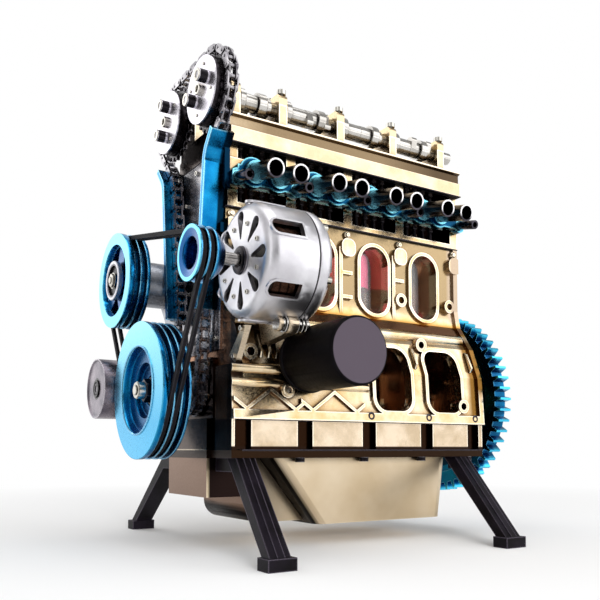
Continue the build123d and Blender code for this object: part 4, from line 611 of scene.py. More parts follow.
class ENGINE_OT_broken_edges(bpy.types.Operator):
    """Weld the parts of the frame and break their sharp edges"""
    bl_idname = "engine.broken_edges"
    bl_label = "Broken edges"

    # Share of the edge break that each part takes, as its detail allows
    shares = {
        "oil_pan": 2.0, "crankcase_rail": 1.2, "cylinder_block": 1.0, "cylinder_head": 1.0,
        "cam_carrier": 1.0, "cam_caps": 1.0, "intake_flange": 1.0, "exhaust_flange": 1.0,
        "front_plate": 1.2, "chain_guide_near": 1.2, "chain_guide_far": 1.2,
        "alternator_front": 1.0, "alternator_rear": 1.0, "alternator_bracket": 1.0,
        "pump_housing": 1.2, "idler_arm": 1.2, "stand_legs": 1.6, "drive_motor": 1.2,
        "crank_pulley": 1.0, "flywheel_gear": 0.8, "intake_sprocket": 0.8, "exhaust_sprocket": 0.8,
        "alternator_pulley": 0.8, "pump_pulley": 0.8, "idler_pulley": 1.0, "crankshaft": 1.0,
        "bearing_caps": 1.0, "intake_trumpets": 0.5, "exhaust_stubs": 0.5, "oil_filter": 1.0,
        "drive_belts": 0.8,
    }

    def execute(self, context):
        width = context.scene.engine_fittings.edge_break
        for name, share in self.shares.items():
            part = nodes[name]
            weld = part.modifiers.new("weld", "WELD")
            weld.merge_threshold = 0.002 * MM
            bevel = part.modifiers.new("edge break", "BEVEL")
            bevel.width = width * share
            bevel.segments = 2
            bevel.limit_method = "ANGLE"
            bevel.angle_limit = SMOOTH_ANGLE
            bevel.harden_normals = True
        return {"FINISHED"}


def turned(profile, closed=False):
    """A shape turned about Z, from points of radius and height in millimetres."""
    steps = bpy.context.scene.engine_fittings.round_steps
    bm = bmesh.new()
    verts = [bm.verts.new((radius * MM, 0, height * MM)) for radius, height in profile]
    pairs = list(zip(verts, verts[1:] + verts[:1]))
    edges = [bm.edges.new(pair) for pair in (pairs if closed else pairs[:-1])]
    bmesh.ops.spin(bm, geom=verts + edges, cent=(0, 0, 0), axis=UP, angle=2 * pi, steps=steps,
                   use_merge=True)
    bmesh.ops.remove_doubles(bm, verts=bm.verts, dist=1e-4 * MM)
    bmesh.ops.recalc_face_normals(bm, faces=bm.faces)
    return bm


def ring(inner, outer, height, break_width=0.15):
    """A flat ring that stands on the origin, its upper edges broken."""
    b = break_width
    return turned([(inner, 0), (outer, 0), (outer, height - b), (outer - b, height),
                   (inner + b, height), (inner, height - b)], closed=True)


def stepped_bar(steps, break_width=0.12):
    """A solid round bar from (radius, length) steps, its free edges broken."""
    b = break_width
    points, height = [(0, 0)], 0
    for radius, length in steps:
        points += [(radius - b, height), (radius, height + b), (radius, height + length - b),
                   (radius - b, height + length)]
        height += length
    return turned(points + [(0, height)])


def socket_head(radius, height, socket=0.5):
    """The head of a cap screw: a broken top edge and a round socket."""
    inner, b = radius * socket, radius * 0.1
    return turned([(0, 0), (radius, 0), (radius, height - b), (radius - b, height),
                   (inner + b, height), (inner, height - b), (inner, height * 0.4), (0, height * 0.4)])


def hexagon(across, height, stud=0.0):
    """A hexagon head with broken upper edges, and the end of a stud if it has a length."""
    bm = bmesh.new()
    radius = across / 3 ** 0.5 * MM
    bmesh.ops.create_cone(bm, cap_ends=True, segments=6, radius1=radius, radius2=radius,
                          depth=height * MM)
    bmesh.ops.translate(bm, verts=bm.verts, vec=UP * height * MM / 2)
    top = [edge for edge in bm.edges if min(v.co.z for v in edge.verts) > height * MM / 2]
    bmesh.ops.bevel(bm, geom=top, offset=0.08 * across * MM, affect="EDGES", segments=2,
                    profile=0.5, material=-1)
    if stud:
        end = stepped_bar([(across * 0.28, height + stud)])
        bm = joined([bm, end])
    # The washer face under the head, as shares of the head's size
    return joined([bm, ring(CLOSED, across * 0.66, height * 0.16, FINE_BREAK / 2)])


def open_frame(size, band, place):
    """A flat rectangular frame of the given band, square edged."""
    bm = bmesh.new()
    bmesh.ops.create_grid(bm, x_segments=1, y_segments=1, size=0.5)
    bmesh.ops.scale(bm, verts=bm.verts, vec=Vector((size[0], size[1], 1)) * MM)
    middle = bm.faces[:]
    bmesh.ops.inset_individual(bm, faces=middle, thickness=band * MM, use_even_offset=True)
    bmesh.ops.delete(bm, geom=middle, context="FACES")
    pulled = bmesh.ops.extrude_face_region(bm, geom=bm.faces[:])["geom"]
    lifted = [part for part in pulled if isinstance(part, bmesh.types.BMVert)]
    bmesh.ops.translate(bm, verts=lifted, vec=UP * size[2] * MM)
    bmesh.ops.translate(bm, verts=bm.verts, vec=(Vector(place) - UP * size[2] / 2) * MM)
    bmesh.ops.recalc_face_normals(bm, faces=bm.faces)
    return bm


def plate(points, thickness, break_width=0.2):
    """A flat plate on the origin from its outline in millimetres, its edges broken."""
    bm = bmesh.new()
    face = bm.faces.new([bm.verts.new((u * MM, v * MM, 0)) for u, v in points])
    pulled = bmesh.ops.extrude_face_region(bm, geom=[face])["geom"]
    lifted = [part for part in pulled if isinstance(part, bmesh.types.BMVert)]
    bmesh.ops.translate(bm, verts=lifted, vec=UP * thickness * MM)
    bmesh.ops.recalc_face_normals(bm, faces=bm.faces)
    bmesh.ops.bevel(bm, geom=bm.edges[:], offset=break_width * MM, affect="EDGES", segments=2,
                    profile=0.5, material=-1)
    return bm


def joined(shapes):
    """Several shapes as one."""
    whole = bmesh.new()
    for bm in shapes:
        mesh = bpy.data.meshes.new("part")
        bm.to_mesh(mesh)
        bm.free()
        whole.from_mesh(mesh)
        bpy.data.meshes.remove(mesh)
    return whole


def aimed(place, direction):
    """The matrix that carries a shape along Z to a place in millimetres and a direction."""
    turn = Vector(direction).to_track_quat("Z", "Y").to_matrix().to_4x4()
    return Matrix.Translation(Vector(place) * MM) @ turn


def spread(bm, places):
    """The shape once at each place, as one."""
    source = bm.verts[:] + bm.edges[:] + bm.faces[:]
    verts = bm.verts[:]
    for place in places[1:]:
        copy = bmesh.ops.duplicate(bm, geom=source)["geom"]
        moved = [part for part in copy if isinstance(part, bmesh.types.BMVert)]
        bmesh.ops.transform(bm, matrix=place, verts=moved)
    bmesh.ops.transform(bm, matrix=places[0], verts=verts)
    return bm


def on_front(x, places):
    """Matrices that look forwards from (y, z) places on a face at x."""
    return [aimed((x, y, z), -AXIS_X) for y, z in places]


def on_circle(centre, radius, count, x, direction, start=0.0):
    """Matrices of even places round an X axis whose centre is (y, z)."""
    angles = [start + 2 * pi * i / count for i in range(count)]
    return [aimed((x, centre[0] + radius * cos(a), centre[1] + radius * sin(a)), direction)
            for a in angles]


def show(name, bm, finish, body="engine", places=None):
    """Make a piece of a shape, once at each place, with its finish, and let it ride on its body."""
    if places:
        spread(bm, places)
    mesh = bpy.data.meshes.new(name)
    bm.to_mesh(mesh)
    bm.free()
    mesh.materials.append(finish_of(finish))
    mesh.shade_smooth()
    mesh.set_sharp_from_angle(angle=SMOOTH_ANGLE)
    piece = bpy.data.objects.new(name, mesh)
    bpy.context.scene.collection.objects.link(piece)
    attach(piece, body)


class ENGINE_OT_cam_fittings(bpy.types.Operator):
    """Flanges and thick bars between the caps, and wheel bolts of both camshafts"""
    bl_idname = "engine.cam_fittings"
    bl_label = "Camshaft fittings"

    knob_turns = {NEAR: 153.0, FAR: 108.0}
    knob_radius = 5.4
    knob_face_x = -57.4
    disc_face_x = -54.0
    # Radius and length of the flanges before and after each cap, and of the bar between
    shaft_bore_r = 2.3
    front_flange = (4.3, 3.3)
    rear_flange = (4.4, 2.3)
    bar_r = 3.1
    flange_leads = (8.65, 2.75)
    sleeve_break = 0.3
    # Bore, radius and height of the rings on the knobs, and radius and height of the screws
    knob_rim = (1.15, 2.2, 0.35)
    knob_socket = (CLOSED, 1.2, 0.12, 0.03)
    wheel_bolt = (2.1, 1.5, 0.55)
    pin_count, pin_circle_r = 4, 8.6
    pin = (0.55, 0.4)

    def dressed_shaft(self, axis):
        """The flanges and bars of one shaft, as sleeves round the camshaft."""
        shapes = []
        for i, x in enumerate(CAP_XS):
            places = [(x + self.flange_leads[1], self.rear_flange)] if i < len(CAP_XS) - 1 else []
            if i:
                places.append((x - self.flange_leads[0], self.front_flange))
                start = CAP_XS[i - 1] + self.flange_leads[1] + self.rear_flange[1]
                length = x - self.flange_leads[0] - start
                places.append((start, (self.bar_r, length)))
            for start, (radius, length) in places:
                sleeve = ring(self.shaft_bore_r, radius, length, self.sleeve_break)
                shapes.append(spread(sleeve, [aimed((start, *axis), AXIS_X)]))
        return joined(shapes)

    def execute(self, context):
        for side, word in ((NEAR, "intake"), (FAR, "exhaust")):
            axis = (side * CAM_Y, CAM_Z)
            body = f"{word}_cam"
            show(f"{word}_cam_bars", self.dressed_shaft(axis), "shaft_steel", body)
            turn = radians(self.knob_turns[side])
            knobs = on_circle(axis, self.knob_radius, 2, self.knob_face_x, -AXIS_X, turn)
            show(f"{word}_knob_rims", ring(*self.knob_rim), "screw_steel", body, places=knobs)
            show(f"{word}_knob_sockets", ring(*self.knob_socket), "chain_steel", body, places=knobs)
            middle = aimed((self.disc_face_x, *axis), -AXIS_X)
            show(f"{word}_wheel_bolt", socket_head(*self.wheel_bolt), "screw_steel", body,
                 places=[middle])
            holes = on_circle(axis, self.pin_circle_r, self.pin_count, self.disc_face_x, -AXIS_X,
                              turn + pi / 4)
            show(f"{word}_wheel_pins", stepped_bar([self.pin], FINE_BREAK), "screw_steel", body,
                 places=holes)
        return {"FINISHED"}


class ENGINE_OT_pulley_fittings(bpy.types.Operator):
    """Nuts, washers and screws of the pulleys"""
    bl_idname = "engine.pulley_fittings"
    bl_label = "Pulley fittings"

    # Faces that the pieces stand on
    washer_x, nut_x, stud_x, lip_x = -63.4, -64.1, -69.6, -69.7
    pump_nut_x, pump_hub_x, idler_face_x = -70.2, -69.0, -72.4
    # Bore, radius, height and broken edge of the rings
    washer = (3.05, 4.9, 0.7, 0.1)
    pump_hub = (6.2, 7.4, 1.6, 0.25)
    # Width across, height and stud end of the hexagons
    crank_nut = (7.2, 3.4)
    pump_nut = (4.6, 1.0, 0.4)
    # Points of radius and height
    stud_steps = ((2.9, 0.5), (1.7, 0.5))
    lip_profile = ((14.9, 0), (15.6, 0), (15.6, 0.2), (15.4, 0.4), (15.1, 0.4), (14.9, 0.2))
    cup_profile = ((0, 0), (6.2, 0), (6.2, 1.4), (5.7, 1.4), (5.5, 0.6), (0, 0.6))
    idler_cap = (2.35, 0.5)

    def execute(self, context):
        washer, nut = ring(*self.washer), hexagon(*self.crank_nut)
        stud = stepped_bar(self.stud_steps, 2 * FINE_BREAK)
        lip = turned(self.lip_profile, closed=True)
        for name, bm, x, finish in (("crank_washer", washer, self.washer_x, "dark_steel"),
                                    ("crank_nut", nut, self.nut_x, "dark_steel"),
                                    ("crank_stud_end", stud, self.stud_x, "screw_steel"),
                                    ("crank_pulley_lip", lip, self.lip_x, "blue_anodised")):
            show(name, bm, finish, "crank", places=on_front(x, [CRANK]))
        nut, cup, rim = hexagon(*self.pump_nut), turned(self.cup_profile), ring(*self.pump_hub)
        for name, bm, x, finish in (("pump_nut", nut, self.pump_nut_x, "screw_steel"),
                                    ("pump_hub_cup", cup, self.pump_hub_x, "dark_steel"),
                                    ("pump_hub_ring", rim, self.pump_hub_x, "wheel_silver")):
            show(name, bm, finish, "pump_wheel", places=on_front(x, [PUMP]))
        cap = on_front(self.idler_face_x, [IDLER])
        show("idler_hub", socket_head(*self.idler_cap), "dark_steel", places=cap)
        return {"FINISHED"}


class ENGINE_OT_alternator_fittings(bpy.types.Operator):
    """Bearing rings, bolts, slot rims and terminals of the alternator"""
    bl_idname = "engine.alternator_fittings"
    bl_label = "Alternator fittings"

    shell_r = 18.7
    shell_xs = (-51.0, -27.0)
    # Six slots round the shell, the first a little past the top
    slot_turns = [radians(7.0 + 60.0 * i) for i in range(6)]
    slot_xs = (-47.15, -38.4)     # centre of the round end, and the square end
    slot_half = 2.45
    rim_width = 0.7
    rim_rise = 0.35
    rim_depth = 0.4
    boss_profile = ((2.3, 0), (4.6, 0), (4.4, 0.7), (3.9, 1.0), (2.7, 1.0), (2.3, 0.7))
    cover_profile = ((0, 0), (6.6, 0), (6.2, 1.2), (5.2, 1.6), (2.6, 1.6), (2.2, 2.2), (0, 2.2))
    # Circle, count and face of the front bolts, and radius and height of each screw
    face_bolt_r, face_bolt_count, face_bolt_x = 11.6, 8, -50.9
    face_bolt = (0.8, 0.6)
    notch_bolt_r, notch_bolt_x = 17.1, -29.6
    notch_bolt = (1.25, 2.0)
    seam_x, seam_width = -33.55, 0.7
    seam_drops = (1.0, 0.15)      # inner and outer radius below the shell's
    terminal_r, terminal_turn = 10.0, radians(60)
    terminal = (2.6, 0.9, 2.0)

    def execute(self, context):
        front, rear = -AXIS_X, AXIS_X
        y, z = ALTERNATOR
        front_x, rear_x = self.shell_xs
        boss = turned(self.boss_profile, closed=True)
        show("alternator_front_boss", boss, "dark_steel", places=[aimed((front_x, y, z), front)])
        cover = turned(self.cover_profile)
        show("alternator_rear_cover", cover, "silver_alternator",
             places=[aimed((rear_x, y, z), rear)])
        bolts = on_circle(ALTERNATOR, self.face_bolt_r, self.face_bolt_count, self.face_bolt_x,
                          front, pi / self.face_bolt_count)
        show("alternator_front_bolts", socket_head(*self.face_bolt), "screw_steel", places=bolts)
        r = self.notch_bolt_r
        bolts = [aimed((self.notch_bolt_x, y + r * sin(turn), z + r * cos(turn)), rear)
                 for turn in self.slot_turns]
        show("alternator_notch_bolts", socket_head(*self.notch_bolt), "screw_steel", places=bolts)
        inner, outer = (self.shell_r - drop for drop in self.seam_drops)
        seam = ring(inner, outer, self.seam_width, FINE_BREAK)
        show("alternator_seam", seam, "dark_steel", places=[aimed((self.seam_x, y, z), rear)])
        self.rim_slots()
        studs = on_circle(ALTERNATOR, self.terminal_r, 2, rear_x, rear, self.terminal_turn)
        show("alternator_terminals", hexagon(*self.terminal), "pinion_brass", places=studs)
        return {"FINISHED"}

    def rim_slots(self):
        """Raised lips round the long slots, wrapped on the shell."""
        y, z = ALTERNATOR
        rims = []
        round_x, square_x = self.slot_xs
        for turn in self.slot_turns:
            bm = bmesh.new()
            bmesh.ops.create_circle(bm, segments=48, radius=1.0)
            inner = bm.verts[:]
            rim = bmesh.ops.extrude_edge_only(bm, edges=bm.edges[:])["geom"]
            outer = [v for v in rim if isinstance(v, bmesh.types.BMVert)]
            for verts, grow in ((inner, 0.0), (outer, self.rim_width)):
                for v in verts:
                    # The front half stays round, the rear half is drawn out to a square end
                    u, w = v.co.x, v.co.y
                    if u > 0:
                        u, w = min(1.0, u * 2 ** 0.5), max(-1.0, min(1.0, w * 2 ** 0.5))
                        v.co.x = round_x + u * (square_x - round_x + grow)
                    else:
                        v.co.x = round_x + u * (self.slot_half + grow)
                    v.co.y = w * (self.slot_half + grow)
            pulled = bmesh.ops.extrude_face_region(bm, geom=bm.faces[:])["geom"]
            lifted = [v for v in pulled if isinstance(v, bmesh.types.BMVert)]
            bmesh.ops.translate(bm, verts=lifted, vec=UP)
            for v in bm.verts:
                height = self.shell_r + (self.rim_rise if v.co.z > 0.5 else -self.rim_depth)
                angle = turn + v.co.y / self.shell_r
                v.co = Vector((v.co.x, y - height * sin(angle), z + height * cos(angle))) * MM
            bmesh.ops.recalc_face_normals(bm, faces=bm.faces)
            rims.append(bm)
        show("alternator_slot_rims", joined(rims), "silver_alternator")


class ENGINE_OT_block_fittings(bpy.types.Operator):
    """Gussets, plugs, gaskets, bolts and knobs of the block, the rail and the pan"""
    bl_idname = "engine.block_fittings"
    bl_label = "Block fittings"

    # The webs on the slope: their places, the outline, the upper end and the way down (y, z)
    web_xs = (-37.6, -34.6, -31.6, -12.8, -9.4, -6.0, -2.6, 7.2, 29.8, 58.6)
    web_outline = ((0, 0), (9.4, 0), (7.8, 1.6), (1.2, 1.0))
    web_thick, web_break = 1.0, 0.15
    web_start = (-27.2, 72.9)
    web_run, web_drop = 4.5, 12.0
    # Radius, height and share of the socket of each screw
    side_plug, side_plug_place = (2.2, 0.9, 0.45), (-29.3, -33.4, 53.5)
    lip_bolt, lip_bolt_y, lip_bolt_z = (1.5, 1.1, 0.45), 32.4, 45.7
    lip_bolt_xs = (5.75, 33.2, 57.5)
    knob_steps, knob_y, knob_z = ((1.4, 1.2), (0.9, 0.5)), 18.2, 115.2
    drain_plug, drain_place = (7.0, 2.2), (20.0, 0.0, 7.3)
    gasket_rise = 0.15
    # Height, half width, thickness and band of each joint between the castings
    joints = ((43.6, 32.4, 0.5, 4.8), (33.5, 32.0, 0.5, 4.8), (117.5, 19.5, 0.4, 2.4),
              (139.7, 22.0, 0.4, 2.4))

    def execute(self, context):
        down = Vector((0, -self.web_run, -self.web_drop)).normalized()
        out = Vector((0, -self.web_drop, self.web_run)).normalized()
        turn = Matrix((down, out, down.cross(out))).transposed().to_4x4()
        gussets = []
        for x in self.web_xs:
            web = plate(self.web_outline, self.web_thick, self.web_break)
            start = Matrix.Translation(Vector((x, *self.web_start)) * MM)
            bmesh.ops.transform(web, matrix=start @ turn, verts=web.verts)
            gussets.append(web)
        show("side_gussets", joined(gussets), "gold_casting")
        plug = [aimed(self.side_plug_place, (0, NEAR, 0))]
        show("side_plug", socket_head(*self.side_plug), "gold_casting", places=plug)
        gaskets = []
        front, rear = BLOCK_XS
        for z, half, thick, band in self.joints:
            size = (rear - front + 2 * self.gasket_rise, 2 * (half + self.gasket_rise), thick)
            gaskets.append(open_frame(size, band, ((front + rear) / 2, 0, z)))
        show("joint_gaskets", joined(gaskets), "belt_rubber")
        # Dark bolts on the lip of the block, and small knobs over its lozenges
        bolts = [aimed((x, way * self.lip_bolt_y, self.lip_bolt_z), (0, way, 0))
                 for x in self.lip_bolt_xs for way in (NEAR, FAR)]
        show("lip_bolts", socket_head(*self.lip_bolt), "dark_steel", places=bolts)
        knobs = [aimed((x, way * self.knob_y, self.knob_z), (0, way, 0))
                 for x in COLUMN_XS for way in (NEAR, FAR)]
        show("lozenge_knobs", stepped_bar(self.knob_steps, 2 * FINE_BREAK), "gold_casting",
             places=knobs)
        drain = [aimed(self.drain_place, -UP)]
        show("drain_plug", hexagon(*self.drain_plug), "screw_steel", places=drain)
        return {"FINISHED"}


class ENGINE_OT_head_fittings(bpy.types.Operator):
    """Gallery studs, core plugs, port nuts and collars of the head"""
    bl_idname = "engine.head_fittings"
    bl_label = "Head fittings"

    gallery_y = 16.2
    stud_offsets = (-6.4, -2.2, 2.2, 6.4)
    gallery_floors = (119.4, 134.5)
    stud_steps = ((1.3, 0.8), (0.8, 3.7), (1.3, 0.8))
    plug_y, plug_zs = 12.9, (122.0, 137.2)
    plug_profile = ((0, 0), (1.7, 0), (1.7, 0.7), (1.4, 1.0), (1.0, 1.0), (0.7, 0.5), (0, 0.5))
    # The exhaust side: height of the ports at the head, their fall, and half their pitch
    port_z, port_fall, port_half = 126.0, tan(radians(12.5)), 4.9
    nut_y, nut_run, nut_drop = 23.5, 15.5, 2.6
    nut = (4.2, 1.8, 1.2)
    collar_y, port_end_y = 25.5, 39.0
    collar = (3.45, 4.1, 0.5)

    def execute(self, context):
        studs, plugs = [], []
        for x in CYLINDER_XS:
            for side in (NEAR, FAR):
                for offset in self.stud_offsets:
                    for floor in self.gallery_floors:
                        studs.append(aimed((x + offset, side * self.gallery_y, floor), UP))
                for height in self.plug_zs:
                    plugs.append(aimed((x, side * self.plug_y, height), (0, side, 0)))
        show("gallery_studs", stepped_bar(self.stud_steps), "dark_steel", places=studs)
        show("core_plugs", turned(self.plug_profile), "bracket_beige", places=plugs)
        way_out = (0, 1, -self.port_fall)
        nut_z = self.port_z + self.nut_run * self.port_fall - self.nut_drop
        nuts = [aimed((x, self.nut_y, nut_z), way_out) for x in COLUMN_XS]
        show("exhaust_nuts", hexagon(*self.nut), "screw_steel", places=nuts)
        collar_z = self.port_z + (self.port_end_y - self.collar_y) * self.port_fall
        rims = [aimed((x + side * self.port_half, self.collar_y, collar_z), way_out)
                for x in CYLINDER_XS for side in (-1, 1)]
        show("exhaust_collars", ring(*self.collar), "screw_steel", places=rims)
        return {"FINISHED"}


class ENGINE_OT_front_fittings(bpy.types.Operator):
    """Cover, seal, screws and plunger on the front of the engine"""
    bl_idname = "engine.front_fittings"
    bl_label = "Front fittings"

    # The seal and screws of the front plate
    seal_x = -47.6
    seal_profile = ((3.4, 0), (6.9, 0), (6.9, 0.8), (6.3, 1.1), (4.6, 1.1), (4.1, 0.5), (3.4, 0.5))
    plate_screw, plate_screw_ys, plate_screw_zs = (1.1, 0.9), (-10.0, 10.0), (40.0, 52.0, 63.5)
    # Half of the sheet behind the chain, as (y, z) from its foot up, and its screws
    case_x, case_thick, case_break = -45.45, 0.7, 0.15
    case_half = ((15.4, 68.0), (16.0, 84.0), (15.6, 117.0), (16.8, 139.0))
    case_screw_x, case_screw = -46.1, (0.95, 0.8)
    case_screw_places = ((13.4, 72.0), (13.0, 92.0), (12.6, 112.0), (13.4, 126.0), (4.0, 136.0))
    plunger_steps, plunger_z = ((3.2, 1.6), (2.2, 1.4), (2.8, 2.2), (1.2, 0.8)), 98.0
    # The pump's bolts and turned face, the bolts of the idler's arm and of the guides
    pump_bolt_x, pump_bolt = -49.0, (2.6, 1.2)
    pump_bolt_places = ((33.0, 100.5), (19.5, 104.0), (19.5, 84.0))
    pump_face_x = -60.0
    pump_face_profile = ((2.6, 0), (8.0, 0), (7.6, 0.5), (6.6, 0.6), (6.2, 0.2), (2.6, 0.2))
    arm_bolt_x, arm_bolt, arm_bolt_places = -49.5, (2.8, 1.2), ((20.4, 57.0), (26.0, 61.5))
    guide_screw_x, guide_screw_y, guide_screw_zs = -47.5, 17.2, (125.5, 136.5)
    guide_screw = (1.2, 1.0)

    def execute(self, context):
        self.fit_front_plate()
        self.fit_chain_case()
        bolts = on_front(self.pump_bolt_x, self.pump_bolt_places)
        show("pump_bolts", hexagon(*self.pump_bolt), "screw_steel", places=bolts)
        face = turned(self.pump_face_profile, closed=True)
        show("pump_face", face, "bracket_silver", places=on_front(self.pump_face_x, [PUMP]))
        bolts = on_front(self.arm_bolt_x, self.arm_bolt_places)
        show("arm_bolts", hexagon(*self.arm_bolt), "screw_steel", places=bolts)
        screws = on_front(self.guide_screw_x, [(side * self.guide_screw_y, z)
                                               for side in (NEAR, FAR) for z in self.guide_screw_zs])
        show("guide_screws", socket_head(*self.guide_screw), "screw_steel", places=screws)
        return {"FINISHED"}

    def fit_front_plate(self):
        """The seal round the crank nose and the screws of its plate."""
        seal = turned(self.seal_profile, closed=True)
        show("crank_seal", seal, "belt_rubber", places=on_front(self.seal_x, [CRANK]))
        screws = on_front(self.seal_x, [(y, z) for y in self.plate_screw_ys
                                        for z in self.plate_screw_zs])
        show("front_plate_screws", socket_head(*self.plate_screw), "screw_steel", places=screws)

    def fit_chain_case(self):
        """The sheet behind the chain, its screws and the plunger between the chain's runs."""
        foot, *upper = self.case_half
        outline = [(-foot[0], foot[1]), foot, *upper, *((-y, z) for y, z in reversed(upper))]
        cover = plate(outline, self.case_thick, self.case_break)
        turn = Matrix(((0, 0, -1), (1, 0, 0), (0, 1, 0))).to_4x4()
        place = Matrix.Translation(AXIS_X * self.case_x * MM)
        bmesh.ops.transform(cover, matrix=place @ turn, verts=cover.verts)
        bmesh.ops.recalc_face_normals(cover, faces=cover.faces)
        show("chain_case_back", cover, "chain_steel")
        screws = on_front(self.case_screw_x, [(side * y, z) for side in (NEAR, FAR)
                                              for y, z in self.case_screw_places])
        show("chain_case_screws", socket_head(*self.case_screw), "screw_steel", places=screws)
        plunger = stepped_bar(self.plunger_steps, 2 * FINE_BREAK)
        show("tensioner_plunger", plunger, "bracket_silver",
             places=on_front(self.case_screw_x, [(0, self.plunger_z)]))


class ENGINE_OT_bracket_fittings(bpy.types.Operator):
    """Collars of the alternator's lower bolt, screws of the strut"""
    bl_idname = "engine.bracket_fittings"
    bl_label = "Bracket fittings"

    bolt = (-45.0, 73.3)
    # Faces of the arm that the spacers stand on, and the steps of each spacer
    arm_xs = (-37.9, -34.1)
    front_steps = ((2.9, 0.5), (2.2, 1.1), (1.7, 0.6), (2.4, 0.9))
    rear_steps = ((2.9, 0.5), (2.0, 1.3), (2.5, 0.7), (1.7, 0.8), (2.2, 1.2), (1.2, 0.9))
    spacer_break = 0.15
    strut_screw, strut_screw_x = (0.9, 0.8), -47.5
    strut_screw_places = ((-29.4, 64.0), (-34.6, 72.6))

    def execute(self, context):
        front_x, rear_x = self.arm_xs
        front = stepped_bar(self.front_steps, self.spacer_break)
        show("lug_spacer_front", front, "shaft_steel", places=on_front(front_x, [self.bolt]))
        rear = stepped_bar(self.rear_steps, self.spacer_break)
        show("lug_spacer_rear", rear, "shaft_steel", places=[aimed((rear_x, *self.bolt), AXIS_X)])
        screws = on_front(self.strut_screw_x, self.strut_screw_places)
        show("strut_screws", socket_head(*self.strut_screw), "screw_steel", places=screws)
        return {"FINISHED"}


class ENGINE_OT_stand_fittings(bpy.types.Operator):
    """Collar and seam of the filter, fittings of the gear and motor"""
    bl_idname = "engine.stand_fittings"
    bl_label = "Stand, filter and gear fittings"

    # The filter's axis (x, z), and its seat and seam with the places (y) they stand on
    filter_axis = (-22.2, 64.0)
    seat_y, seam_y = -32.7, -34.2
    seat_profile = ((5.0, 0), (9.6, 0), (9.6, 1.0), (9.2, 1.3), (5.0, 1.3))
    seam_profile = ((10.7, 0), (11.25, 0.3), (11.4, 0.9), (11.25, 1.5), (10.7, 1.8))
    # Six bolts on each face of the gear's web
    gear_bolt, gear_bolt_count, gear_bolt_circle_r = (3.0, 1.2), 6, 12.8
    web_front_x, web_rear_x = 68.5, 71.5
    # The motor's axis from the crank's, and the places (x) of its fittings
    motor_turn = radians(25.4)
    motor_reach = 45.136
    motor_end_x, motor_tag_x, motor_plate_x, motor_band_xs = 40.0, 38.0, 64.9, (42.5, 57.5)
    end_profile = ((5.2, 0), (9.6, 0), (9.2, 0.5), (5.6, 0.8), (5.2, 0.8))
    band_profile = ((10.0, 0), (10.35, 0.1), (10.35, 1.9), (10.0, 2.0))
    tag_steps, tag_circle_r = ((0.9, 0.6), (0.55, 1.6)), 3.6
    plate_bolt, plate_bolt_circle_r = (1.1, 0.9), 6.2

    def execute(self, context):
        x, z = self.filter_axis
        seat = turned(self.seat_profile, closed=True)
        show("filter_seat", seat, "gold_casting", places=[aimed((x, self.seat_y, z), (0, NEAR, 0))])
        seam = turned(self.seam_profile, closed=True)
        show("filter_seam", seam, "filter_black", places=[aimed((x, self.seam_y, z), (0, NEAR, 0))])
        for name, face_x, way in (("gear_bolts", self.web_front_x, -AXIS_X),
                                  ("gear_rear_bolts", self.web_rear_x, AXIS_X)):
            bolts = on_circle(CRANK, self.gear_bolt_circle_r, self.gear_bolt_count, face_x, way,
                              pi / self.gear_bolt_count)
            show(name, hexagon(*self.gear_bolt), "screw_steel", "crank", places=bolts)
        turn = self.motor_turn
        motor = (self.motor_reach * cos(turn), CRANK[1] + self.motor_reach * sin(turn))
        end = turned(self.end_profile, closed=True)
        show("motor_end_ring", end, "filter_black", places=on_front(self.motor_end_x, [motor]))
        tags = on_circle(motor, self.tag_circle_r, 2, self.motor_tag_x, -AXIS_X, turn)
        show("motor_terminals", stepped_bar(self.tag_steps, FINE_BREAK), "pinion_brass",
             places=tags)
        bands = [aimed((x, *motor), AXIS_X) for x in self.motor_band_xs]
        show("motor_bands", turned(self.band_profile, closed=True), "motor_can", places=bands)
        bolts = on_circle(motor, self.plate_bolt_circle_r, 2, self.motor_plate_x, AXIS_X,
                          turn + pi / 2)
        show("motor_screws", socket_head(*self.plate_bolt), "screw_steel", places=bolts)
        return {"FINISHED"}


